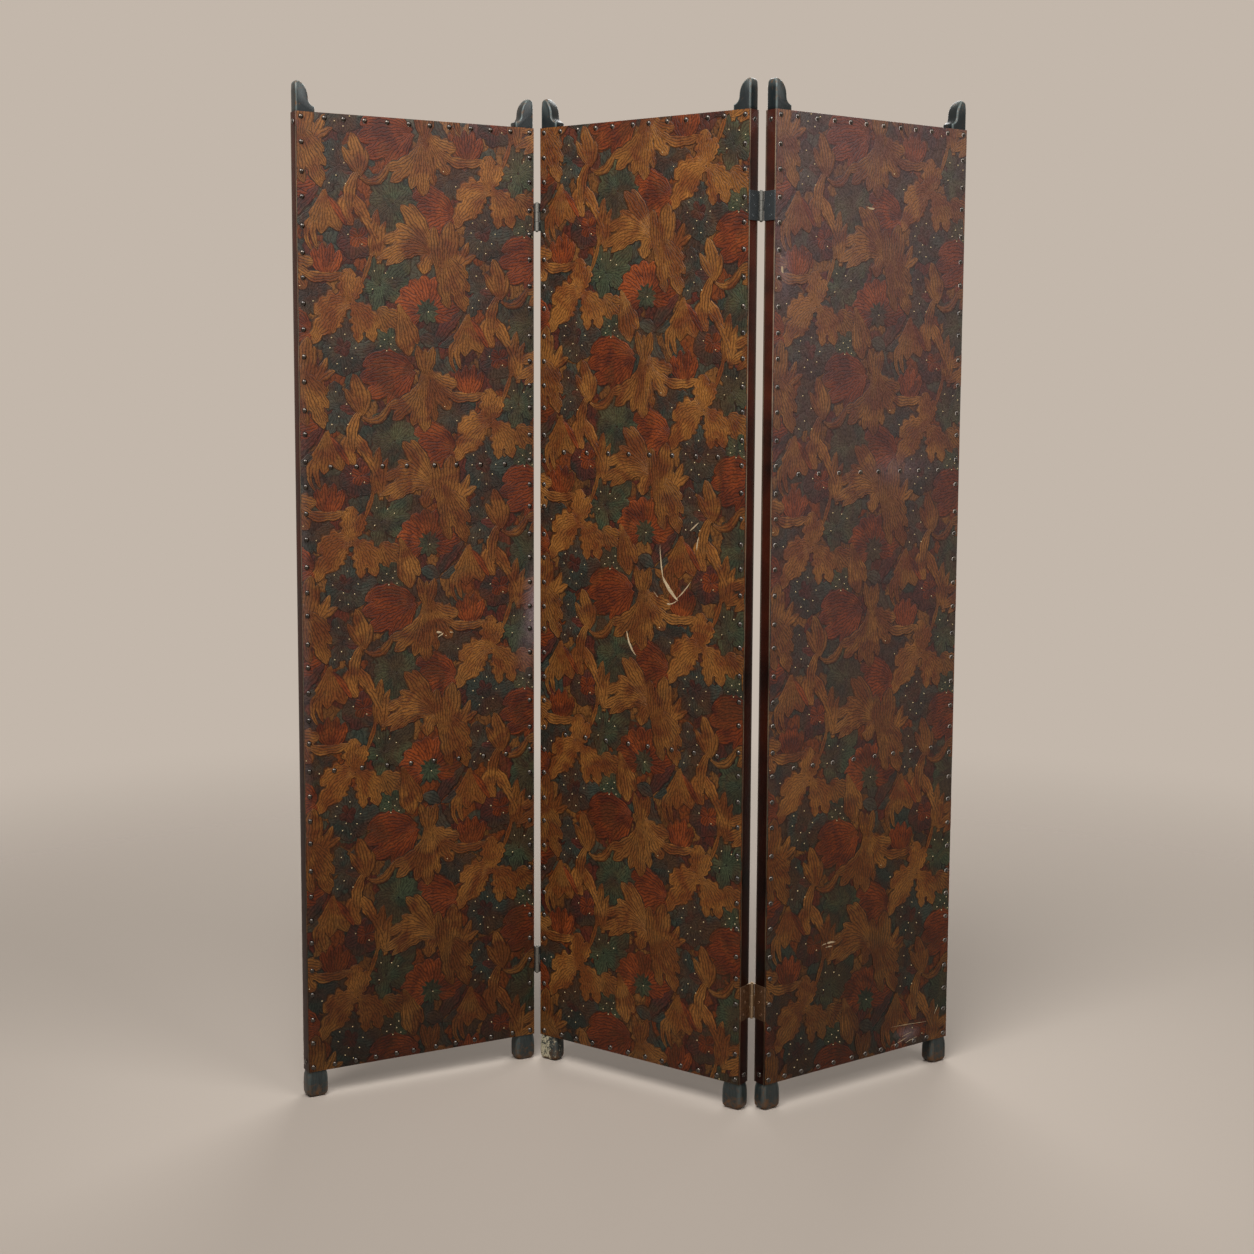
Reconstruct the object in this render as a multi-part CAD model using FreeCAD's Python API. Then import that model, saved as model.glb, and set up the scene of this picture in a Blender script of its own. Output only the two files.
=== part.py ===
import FreeCAD, Part
import math
import os

# Leather folding screen: three leather panels nailed to wooden frames and joined by butt hinges.
# Millimetres, +Z up, the front faces -Y. The screen stands in its zigzag, at the middle of its floor area.

# Panel
PANEL_WIDTH = 457.0
LEATHER_HEIGHT = 1727.0
WOOD_THICKNESS = 26.0
LEATHER_THICKNESS = 2.0
BINDING_THICKNESS = 1.5

# Frame
STILE_WIDTH = 34.0
TOP_RAIL_HEIGHT = 60.0
CROSS_RAIL_HEIGHT = 50.0
BOTTOM_RAIL_HEIGHT = 70.0
TENON_LENGTH = 22.0
TENON_THICKNESS = 9.0
TENON_SHOULDER = 8.0
GLUE_GAP = 0.1
# How far the middles of each panel's two cross rails lie below the leather's top
CROSS_RAIL_DROPS = {"left": (619.0, 1169.0), "middle": (596.0, 1130.0), "right": (625.0, 1151.0)}

# Foot and ear, the shaped ends of a stile
FOOT_HEIGHT = 48.0
FOOT_ROUND = 13.0
FOOT_SWELL = 2.0
EAR_HEIGHT = 55.0
EAR_TIP_ROUND = 6.5
EAR_WAIST_WIDTH = 22.5
EAR_WAIST_HEIGHT = 23.0
EAR_TOE_HEIGHT = 10.5
EAR_TOE_ROUND = 3.0

# Nails
NAIL_HEAD_RADIUS = 4.75
NAIL_HEAD_HEIGHT = 2.8
NAIL_HEAD_SIDES = 6
NAIL_SHANK_SIDE = 2.2
NAIL_SHANK_LENGTH = 12.0
NAIL_INSET = 9.0
NAIL_PITCH_UPRIGHT = 46.5
NAIL_PITCH_LEVEL = 40.0
NAIL_PITCH_CROSS = 49.0
NAIL_WANDER = 3.0
EDGE_NAIL_INSET = 16.0

# Hinges
HINGE_HEIGHT = 50.8
REPLACED_HINGE_HEIGHT = 63.5
HINGE_LEAF_WIDTH = 34.0
HINGE_LEAF_THICKNESS = 2.0
HINGE_BARREL_RADIUS = 4.5
HINGE_KNUCKLES = 3
HINGE_PIN_RADIUS = 2.5
HINGE_PIN_CLEARANCE = 0.05
HINGE_PIN_PROUD = 2.0
KNUCKLE_CLEARANCE = 0.3
PANEL_GAP = 8.0
UPPER_HINGE_DROP = 162.0
LOWER_HINGE_RISE = 150.0

# Standing pose, degrees: the middle panel's turn, and each outer panel's fold away from flat
MIDDLE_TURN_ANGLE = -36.5
LEFT_FOLD_ANGLE = 64.2
RIGHT_FOLD_ANGLE = 71.5

# Worked-out places in a panel's own frame: x along the panel, y through it, z up
FRONT_WOOD = -WOOD_THICKNESS / 2
BACK_WOOD = WOOD_THICKNESS / 2
FRONT_FACE = FRONT_WOOD - LEATHER_THICKNESS
BACK_FACE = BACK_WOOD + LEATHER_THICKNESS
LEATHER_TOP = FOOT_HEIGHT + LEATHER_HEIGHT
STILE_OUTER = BINDING_THICKNESS
STILE_INNER = STILE_OUTER + STILE_WIDTH
PIN_OFFSET = HINGE_BARREL_RADIUS
Z_AXIS = FreeCAD.Vector(0, 0, 1)


def block(low, high):
    """A box between two corners."""
    size = [b - a for a, b in zip(low, high)]
    return Part.makeBox(*size, FreeCAD.Vector(*low))


def mirrored(shape):
    """The shape on the other side of the panel's centre line."""
    return shape.mirror(FreeCAD.Vector(PANEL_WIDTH / 2, 0, 0), FreeCAD.Vector(1, 0, 0))


def arc(start, middle, end):
    """An arc through three points of a stile's outline."""
    return Part.Arc(*[FreeCAD.Vector(x, FRONT_WOOD, z) for x, z in (start, middle, end)]).toShape()


def line(start, end):
    """A straight stretch of a stile's outline."""
    return Part.makeLine(*[FreeCAD.Vector(x, FRONT_WOOD, z) for x, z in (start, end)])


def on_circle(centre, radius, degrees):
    """A point of a circle, as x and z."""
    turn = math.radians(degrees)
    return centre[0] + radius * math.cos(turn), centre[1] + radius * math.sin(turn)


def foot_edges():
    """The foot's outline, from the leather's bottom on the inner side to the same height outside."""
    inner_round = (STILE_INNER - FOOT_ROUND, FOOT_ROUND)
    outer_round = (STILE_OUTER + FOOT_ROUND, FOOT_ROUND)
    swell = (STILE_INNER + FOOT_SWELL, (FOOT_HEIGHT + FOOT_ROUND) / 2)
    return [
        arc((STILE_INNER, FOOT_HEIGHT), swell, (STILE_INNER, FOOT_ROUND)),
        arc((STILE_INNER, FOOT_ROUND), on_circle(inner_round, FOOT_ROUND, -45), (inner_round[0], 0)),
        line((inner_round[0], 0), (outer_round[0], 0)),
        arc((outer_round[0], 0), on_circle(outer_round, FOOT_ROUND, -135), (STILE_OUTER, FOOT_ROUND)),
        line((STILE_OUTER, FOOT_ROUND), (STILE_OUTER, FOOT_HEIGHT)),
    ]


def ear_edges():
    """The ear's outline: round tip, convex shoulder, hollow cove and a small toe."""
    waist = (STILE_OUTER + EAR_WAIST_WIDTH, LEATHER_TOP + EAR_WAIST_HEIGHT)
    tip = (STILE_OUTER + EAR_TIP_ROUND, LEATHER_TOP + EAR_HEIGHT - EAR_TIP_ROUND)
    # The shoulder leaves the waist upright and touches the tip's circle
    inward = waist[0] - tip[0]
    rise = tip[1] - waist[1]
    shoulder_radius = (inward**2 + rise**2 - EAR_TIP_ROUND**2) / (2 * (inward - EAR_TIP_ROUND))
    shoulder = (waist[0] - shoulder_radius, waist[1])
    touch = math.degrees(math.atan2(tip[1] - shoulder[1], tip[0] - shoulder[0]))
    # The cove leaves the waist upright and runs out onto the toe
    toe = (STILE_INNER - EAR_TOE_ROUND, LEATHER_TOP + EAR_TOE_HEIGHT)
    out = toe[0] - waist[0]
    drop = waist[1] - toe[1]
    cove_radius = (out**2 + drop**2) / (2 * out)
    cove = (waist[0] + cove_radius, waist[1])
    cove_end = 180 + math.degrees(math.atan2(drop, cove[0] - toe[0]))
    toe_round = (toe[0], toe[1] - EAR_TOE_ROUND)
    touch_point = on_circle(tip, EAR_TIP_ROUND, touch)
    return [
        line((STILE_OUTER, LEATHER_TOP), (STILE_OUTER, tip[1])),
        arc((STILE_OUTER, tip[1]), on_circle(tip, EAR_TIP_ROUND, (180 + touch) / 2), touch_point),
        arc(touch_point, on_circle(shoulder, shoulder_radius, touch / 2), waist),
        arc(waist, on_circle(cove, cove_radius, (180 + cove_end) / 2), toe),
        arc(toe, on_circle(toe_round, EAR_TOE_ROUND, 45), (STILE_INNER, toe_round[1])),
        line((STILE_INNER, toe_round[1]), (STILE_INNER, LEATHER_TOP)),
    ]


def rail_spans(panel):
    """The bottom and top of each of a panel's rails."""
    low = FOOT_HEIGHT + BINDING_THICKNESS
    high = LEATHER_TOP - BINDING_THICKNESS
    spans = {"top_rail": (high - TOP_RAIL_HEIGHT, high), "bottom_rail": (low, low + BOTTOM_RAIL_HEIGHT)}
    for name, drop in zip(("upper_cross_rail", "lower_cross_rail"), CROSS_RAIL_DROPS[panel]):
        middle = LEATHER_TOP - drop
        spans[name] = (middle - CROSS_RAIL_HEIGHT / 2, middle + CROSS_RAIL_HEIGHT / 2)
    return spans


def mortise(span):
    """The pocket that a rail's tenon fills."""
    low, high = span
    half = TENON_THICKNESS / 2 + GLUE_GAP
    return block(
        (STILE_INNER - TENON_LENGTH - GLUE_GAP, -half, low + TENON_SHOULDER - GLUE_GAP),
        (STILE_INNER, half, high - TENON_SHOULDER + GLUE_GAP),
    )


def left_stile(spans):
    """The upright on the panel's left, from its foot to its ear, mortised for the rails."""
    edges = foot_edges()
    edges.append(line((STILE_OUTER, FOOT_HEIGHT), (STILE_OUTER, LEATHER_TOP)))
    edges.extend(ear_edges())
    edges.append(line((STILE_INNER, LEATHER_TOP), (STILE_INNER, FOOT_HEIGHT)))
    solid = Part.Face(Part.Wire(edges)).extrude(FreeCAD.Vector(0, WOOD_THICKNESS, 0))
    return solid.cut([mortise(span) for span in spans.values()])


def rail(span):
    """A rail between the stiles, with a tenon at each end."""
    low, high = span
    body = block((STILE_INNER, FRONT_WOOD, low), (PANEL_WIDTH - STILE_INNER, BACK_WOOD, high))
    tenons = block(
        (STILE_INNER - TENON_LENGTH, -TENON_THICKNESS / 2, low + TENON_SHOULDER),
        (PANEL_WIDTH - STILE_INNER + TENON_LENGTH, TENON_THICKNESS / 2, high - TENON_SHOULDER),
    )
    return body.fuse(tenons).removeSplitter()


def leather(inner, outer):
    """A flat sheet over one side of the frame."""
    return block((0, min(inner, outer), FOOT_HEIGHT), (PANEL_WIDTH, max(inner, outer), LEATHER_TOP))


def edge_binding():
    """Strips on the long edges and, between the stiles, on the top and bottom."""
    upright = block((0, FRONT_WOOD, FOOT_HEIGHT), (BINDING_THICKNESS, BACK_WOOD, LEATHER_TOP))
    ends = [STILE_INNER, PANEL_WIDTH - STILE_INNER]
    levels = [(FOOT_HEIGHT, FOOT_HEIGHT + BINDING_THICKNESS), (LEATHER_TOP - BINDING_THICKNESS, LEATHER_TOP)]
    strips = [block((ends[0], FRONT_WOOD, low), (ends[1], BACK_WOOD, high)) for low, high in levels]
    return Part.makeCompound([upright, mirrored(upright), *strips])


def ring(radius, sides):
    """Corners of a regular outline round a nail's axis, in the plane under its head."""
    turns = [2 * math.pi * step / sides for step in range(sides + 1)]
    return [FreeCAD.Vector(radius * math.cos(t), 0, radius * math.sin(t)) for t in turns]


def point_faces(corners, point):
    """Flat sides that run from an outline to a point."""
    sides = zip(corners, corners[1:])
    return [Part.Face(Part.makePolygon([start, end, point, start])) for start, end in sides]


def nail():
    """A raised nail with a tapered square shank; its head points to -Y from the leather's surface."""
    rim = ring(NAIL_HEAD_RADIUS, NAIL_HEAD_SIDES)
    shank = ring(NAIL_SHANK_SIDE / math.sqrt(2), 4)
    faces = point_faces(rim, FreeCAD.Vector(0, -NAIL_HEAD_HEIGHT, 0))
    faces += point_faces(shank, FreeCAD.Vector(0, NAIL_SHANK_LENGTH, 0))
    under_head = Part.Face(Part.makePolygon(rim)).cut(Part.Face(Part.makePolygon(shank)))
    return Part.makeSolid(Part.makeShell(faces + under_head.Faces))


def wander(step, row):
    """How far a hand-set nail strays along its row."""
    return NAIL_WANDER * math.sin(2.4 * step * step + 1.7 * row + 0.9 * step)


def stations(length, pitch, row):
    """Places along a row of nails: even steps, with all but the end ones strayed a little."""
    count = max(2, round(length / pitch))
    places = [length * step / count for step in range(count + 1)]
    return [p + wander(step, row) if 0 < step < count else p for step, p in enumerate(places)]


def front_nails(panel, row):
    """The nails round the front sheet, along its cross rails and at the ends of the edge strips."""
    pattern = nail()
    low = FOOT_HEIGHT + NAIL_INSET
    right = PANEL_WIDTH - NAIL_INSET
    places = []
    for side, x in enumerate((NAIL_INSET, right)):
        upright = stations(LEATHER_HEIGHT - 2 * NAIL_INSET, NAIL_PITCH_UPRIGHT, row + side)
        places += [(x, low + z) for z in upright]
    levels = [(low, NAIL_PITCH_LEVEL), (LEATHER_TOP - NAIL_INSET, NAIL_PITCH_LEVEL)]
    levels += [(LEATHER_TOP - drop, NAIL_PITCH_CROSS) for drop in CROSS_RAIL_DROPS[panel]]
    for side, (z, pitch) in enumerate(levels):
        level = stations(PANEL_WIDTH - 2 * NAIL_INSET, pitch, row + 2 + side)
        places += [(NAIL_INSET + x, z) for x in level[1:-1]]
    nails = [pattern.translated(FreeCAD.Vector(x, FRONT_FACE, z)) for x, z in places]
    return Part.makeCompound(nails + edge_nails(pattern))


def edge_nails(pattern):
    """One nail at each end of both long edge strips."""
    turned = pattern.rotated(FreeCAD.Vector(), Z_AXIS, -90)
    heights = (FOOT_HEIGHT + EDGE_NAIL_INSET, LEATHER_TOP - EDGE_NAIL_INSET)
    left = [turned.translated(FreeCAD.Vector(0, 0, z)) for z in heights]
    return left + [mirrored(one) for one in left]


def knuckle_span(height, index):
    """The bottom and top of one knuckle, from the hinge's centre."""
    length = (height - (HINGE_KNUCKLES - 1) * KNUCKLE_CLEARANCE) / HINGE_KNUCKLES
    low = index * (length + KNUCKLE_CLEARANCE) - height / 2
    return low, low + length


def hinge_leaf(height, parity):
    """A leaf on the panel at +X of the pin: its plate and its own knuckles."""
    mounting = PANEL_GAP / 2
    inner = mounting - HINGE_LEAF_THICKNESS
    leaf = block((inner, 0, -height / 2), (mounting, HINGE_LEAF_WIDTH, height / 2))
    notch = HINGE_BARREL_RADIUS + KNUCKLE_CLEARANCE
    for index in range(HINGE_KNUCKLES):
        low, high = knuckle_span(height, index)
        if index % 2 == parity:
            start = FreeCAD.Vector(0, 0, low)
            leaf = leaf.fuse(Part.makeCylinder(HINGE_BARREL_RADIUS, high - low, start))
        else:
            gap = KNUCKLE_CLEARANCE
            leaf = leaf.cut(block((-notch, -notch, low - gap), (notch, notch, high + gap)))
    bore_radius = HINGE_PIN_RADIUS + HINGE_PIN_CLEARANCE
    bore = Part.makeCylinder(bore_radius, 2 * height, FreeCAD.Vector(0, 0, -height))
    return leaf.cut(bore).removeSplitter()


def hinge_pin(height):
    """A loose pin that stands a little proud of both ends of its barrel."""
    length = height + 2 * HINGE_PIN_PROUD
    return Part.makeCylinder(HINGE_PIN_RADIUS, length, FreeCAD.Vector(0, 0, -length / 2))


def flipped(shape, across, through):
    """A hinge piece turned to face the other way along the panel, or through it, about the pin."""
    if across:
        shape = shape.mirror(FreeCAD.Vector(), FreeCAD.Vector(1, 0, 0))
    if through:
        shape = shape.mirror(FreeCAD.Vector(), FreeCAD.Vector(0, 1, 0))
    return shape


def hinges():
    """Every hinge: its name, joint side, height and the height of its centre above the floor."""
    upper = LEATHER_TOP - UPPER_HINGE_DROP
    lower = FOOT_HEIGHT + LOWER_HINGE_RISE
    return [
        ("left_upper_hinge", "left", HINGE_HEIGHT, upper),
        ("left_lower_hinge", "left", HINGE_HEIGHT, lower),
        ("right_upper_hinge", "right", HINGE_HEIGHT, upper),
        ("right_lower_hinge", "right", REPLACED_HINGE_HEIGHT, lower),
    ]


def panel_nodes(panel, row):
    """One panel's frame, leather and nails, in the panel's own frame."""
    spans = rail_spans(panel)
    stile = left_stile(spans)
    nodes = {f"{panel}_panel_left_stile": stile, f"{panel}_panel_right_stile": mirrored(stile)}
    for name, span in spans.items():
        nodes[f"{panel}_panel_{name}"] = rail(span)
    nodes[f"{panel}_panel_front_leather"] = leather(FRONT_WOOD, FRONT_FACE)
    nodes[f"{panel}_panel_back_leather"] = leather(BACK_WOOD, BACK_FACE)
    nodes[f"{panel}_panel_edge_binding"] = edge_binding()
    nodes[f"{panel}_panel_front_nails"] = front_nails(panel, row)
    return nodes


def pin_place(side):
    """A joint's pin in the middle panel's frame: in front on the left, behind on the right."""
    if side == "left":
        return FreeCAD.Vector(-PANEL_GAP / 2, FRONT_FACE - PIN_OFFSET, 0)
    return FreeCAD.Vector(PANEL_WIDTH + PANEL_GAP / 2, BACK_FACE + PIN_OFFSET, 0)


def folded_places():
    """Where each panel stands: its own frame to the middle panel's, then the middle panel's turn."""
    pitch = PANEL_WIDTH + PANEL_GAP
    turn = FreeCAD.Placement(FreeCAD.Vector(), FreeCAD.Rotation(Z_AXIS, MIDDLE_TURN_ANGLE))
    places = {"middle": turn}
    for side, shift, fold in (("left", -pitch, LEFT_FOLD_ANGLE), ("right", pitch, RIGHT_FOLD_ANGLE)):
        flat = FreeCAD.Placement(FreeCAD.Vector(shift, 0, 0), FreeCAD.Rotation())
        about_pin = FreeCAD.Placement(FreeCAD.Vector(), FreeCAD.Rotation(Z_AXIS, fold), pin_place(side))
        places[side] = turn.multiply(about_pin).multiply(flat)
    return places


def placed(shape, place):
    """The shape moved by a placement."""
    return shape.transformed(place.toMatrix())


def hinge_nodes(places):
    """Every leaf and pin where it stands."""
    nodes = {}
    pitch = FreeCAD.Vector(PANEL_WIDTH + PANEL_GAP, 0, 0)
    to_own_frame = {"left": pitch, "middle": FreeCAD.Vector(), "right": -pitch}
    for name, side, height, level in hinges():
        on_right = side == "right"
        pin = pin_place(side) + FreeCAD.Vector(0, 0, level)
        for panel, parity in ((side, 1), ("middle", 0)):
            # The left joint's outer leaf is at -X of its pin; on the right joint the middle panel's is
            across = (panel == "middle") == on_right
            leaf = flipped(hinge_leaf(height, parity), across, on_right)
            nodes[f"{name}_{panel}_leaf"] = placed(leaf.translated(pin + to_own_frame[panel]), places[panel])
        nodes[f"{name}_pin"] = placed(hinge_pin(height).translated(pin), places["middle"])
    return nodes


def main():
    """Build every piece in the standing pose, centre it over the floor and write one file per piece."""
    places = folded_places()
    nodes = hinge_nodes(places)
    for row, panel in enumerate(("left", "middle", "right")):
        for name, shape in panel_nodes(panel, row).items():
            nodes[name] = placed(shape, places[panel])
    box = Part.makeCompound(list(nodes.values())).optimalBoundingBox(False, False)
    centring = FreeCAD.Vector(-box.Center.x, -box.Center.y, -box.ZMin)
    os.makedirs("parts", exist_ok=True)
    for name, shape in nodes.items():
        shape.translated(centring).exportStep(f"parts/{name}.step")
    for side in ("left", "right"):
        pin = places["middle"].multVec(pin_place(side)) + centring
        print(f"{side} joint's pin at x {pin.x:.3f}, y {pin.y:.3f}")
    print(f"{len(nodes)} pieces, size {box.XLength:.1f} x {box.YLength:.1f} x {box.ZLength:.1f}")


main()
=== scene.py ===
"""Dresses the leather folding screen: embossed foliage, nails, strips, worn paint and hinges."""

import logging
import math
from dataclasses import dataclass, field
from enum import Enum

import bmesh
import bpy
from mathutils import Matrix, Vector


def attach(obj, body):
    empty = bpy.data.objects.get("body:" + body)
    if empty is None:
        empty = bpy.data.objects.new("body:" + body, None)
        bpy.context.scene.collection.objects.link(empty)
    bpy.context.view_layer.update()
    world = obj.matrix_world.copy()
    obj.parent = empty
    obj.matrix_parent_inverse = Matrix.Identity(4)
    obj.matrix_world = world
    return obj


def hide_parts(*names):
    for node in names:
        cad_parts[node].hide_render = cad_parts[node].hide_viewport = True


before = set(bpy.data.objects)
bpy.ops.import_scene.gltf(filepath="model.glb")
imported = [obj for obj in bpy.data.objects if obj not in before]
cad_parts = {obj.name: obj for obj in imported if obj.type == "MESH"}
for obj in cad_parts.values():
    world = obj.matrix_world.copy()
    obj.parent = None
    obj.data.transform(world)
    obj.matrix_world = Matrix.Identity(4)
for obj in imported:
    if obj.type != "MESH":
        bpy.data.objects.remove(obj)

LOG = logging.getLogger("folding_screen")
MM = 0.001
IMAGE_SIDE = 1254
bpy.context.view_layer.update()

Point = tuple[float, float]
BMesh = bmesh.types.BMesh
Socket = bpy.types.NodeSocket
Tree = bpy.types.NodeTree

# A mix's sockets by number, because its number, vector and colour sockets share their names
SHARE, LEVEL_UNDER, LEVEL_OVER, UNDER, OVER = 0, 2, 3, 6, 7
MIXED = 2
BLEND = {"data_type": "RGBA"}
DARKEN = {"data_type": "RGBA", "blend_type": "MULTIPLY"}


def linear(colour: str) -> tuple[float, float, float, float]:
    """Turns an sRGB hex colour into the linear colour that a shader takes.

    Args:
        colour: Six hex digits after a hash sign.

    Returns:
        Linear red, green, blue and a full alpha.
    """
    shares = [int(colour[i : i + 2], 16) / 255 for i in (1, 3, 5)]
    rgb = [s / 12.92 if s <= 0.04045 else ((s + 0.055) / 1.055) ** 2.4 for s in shares]
    return (rgb[0], rgb[1], rgb[2], 1.0)


def per(size_mm: float) -> float:
    """A pattern's scale for details of that size, in millimetres."""
    return 1 / (size_mm * MM)


def bands(size: float) -> float:
    """A wave's scale for bands of that width, in the units of the place it reads."""
    return math.pi / 10 / size


def feed(tree: Tree, node: bpy.types.Node, feeds: dict) -> None:
    """Fills or links a node's inputs.

    Args:
        tree: The node's tree.
        node: The node.
        feeds: For an input's name or number, the value it takes or the socket linked to it.
    """
    for socket, value in feeds.items():
        if isinstance(value, Socket):
            tree.links.new(value, node.inputs[socket])
        else:
            node.inputs[socket].default_value = value


def add(
    tree: Tree,
    kind: str,
    feeds: dict | None = None,
    out: int | str = 0,
    stops: list | tuple = (),
    **settings,
) -> Socket:
    """Adds one node, sets its properties and fills or links its inputs.

    Args:
        tree: The node tree that gets the node.
        kind: The node's type name, without the prefix that all of them share.
        feeds: What its inputs take.
        out: The name or number of the output that is used.
        stops: A colour ramp's places and colours, in order.
        **settings: The node's own properties.

    Returns:
        That output.
    """
    made = tree.nodes.new(f"ShaderNode{kind}")
    for name, value in settings.items():
        setattr(made, name, value)
    while len(stops) > len(made.color_ramp.elements if stops else ()):
        made.color_ramp.elements.new(1.0)
    for number, (place, colour) in enumerate(stops):
        made.color_ramp.elements[number].position = place
        made.color_ramp.elements[number].color = colour
    feed(tree, made, feeds or {})
    return made.outputs[out]


class Dye(Enum):
    """The colours that the embossed leather is painted with, the gilt of the dots that also paints their
    highlight, and the bare leather of a scar.
    """

    OCHRE = 0
    TAN = 1
    RUST = 2
    GREEN = 3
    SLATE = 4
    MAROON = 5
    GILT_HIGHLIGHT = 6
    BARE = 7


@dataclass(frozen=True)
class Finish:
    """A finish of the screen. Each kind works out its own coat."""

    name: str

    def coat(self, tree: Tree, place: Socket) -> dict:
        """What the shader's inputs take, worked out in that tree for that place on the screen."""
        raise NotImplementedError

    def material(self) -> bpy.types.Material:
        """Builds the finish.

        Returns:
            The material.
        """
        material = bpy.data.materials.new(self.name)
        material.use_nodes = True
        tree = material.node_tree
        place = add(tree, "TexCoord", out="Object")
        feed(tree, tree.nodes["Principled BSDF"], self.coat(tree, place))
        return material


@dataclass(frozen=True)
class Patchwork:
    """Small leaves painted side by side between the motifs, outlined and veined."""

    dyes: tuple[str, ...] = (
        "#421e14", "#2b3027", "#66300f", "#33261c", "#70471f", "#4e2014", "#31372d", "#5f3a19",
    )
    leaf_mm: float = 32.0
    ragged_mm: float = 16.0
    sway: float = 0.022
    line_mm: float = 7.0
    line_dark: float = 0.5
    outline_dark: float = 0.55

    def paint(self, tree: Tree, place: Socket) -> tuple[Socket, Socket]:
        """Draws the leaves.

        Args:
            tree: The finish's node tree.
            place: Where on the screen a point lies.

        Returns:
            The leaves' colour, and how far a point is out of their grooves.
        """
        tear = {"Vector": place, "Scale": per(self.ragged_mm), "Detail": 3.0}
        ripple = add(tree, "TexNoise", tear, "Color")
        sway = (self.sway, self.sway, self.sway)
        torn = add(tree, "VectorMath", {0: ripple, 1: sway, 2: place}, operation="MULTIPLY_ADD")
        cells = {"Vector": torn, "Scale": per(self.leaf_mm)}
        pick = add(tree, "SeparateColor", {0: add(tree, "TexVoronoi", cells, "Color")})
        border = add(tree, "TexVoronoi", cells, "Distance", feature="DISTANCE_TO_EDGE")
        stops = [(number / len(self.dyes), linear(dye)) for number, dye in enumerate(self.dyes)]
        palette = add(tree, "ValToRGB", {0: pick}, stops=stops)
        palette.node.color_ramp.interpolation = "CONSTANT"
        wave = {"Vector": torn, "Scale": bands(self.line_mm * MM), "Distortion": 7.0, "Detail": 1.0}
        lines = add(tree, "TexWave", wave, "Fac")
        depths = {"From Min": 0.03, "From Max": 0.32, "To Min": self.line_dark, "To Max": 1.1}
        cut = add(tree, "MapRange", {"Value": lines, **depths})
        verge = {"From Min": 0.01, "From Max": 0.09, "To Min": self.outline_dark}
        outline = add(tree, "MapRange", {"Value": border, **verge})
        groove = add(tree, "Math", {0: cut, 1: outline}, operation="MULTIPLY")
        return add(tree, "Mix", {SHARE: 1.0, UNDER: palette, OVER: groove}, MIXED, **DARKEN), groove


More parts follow.
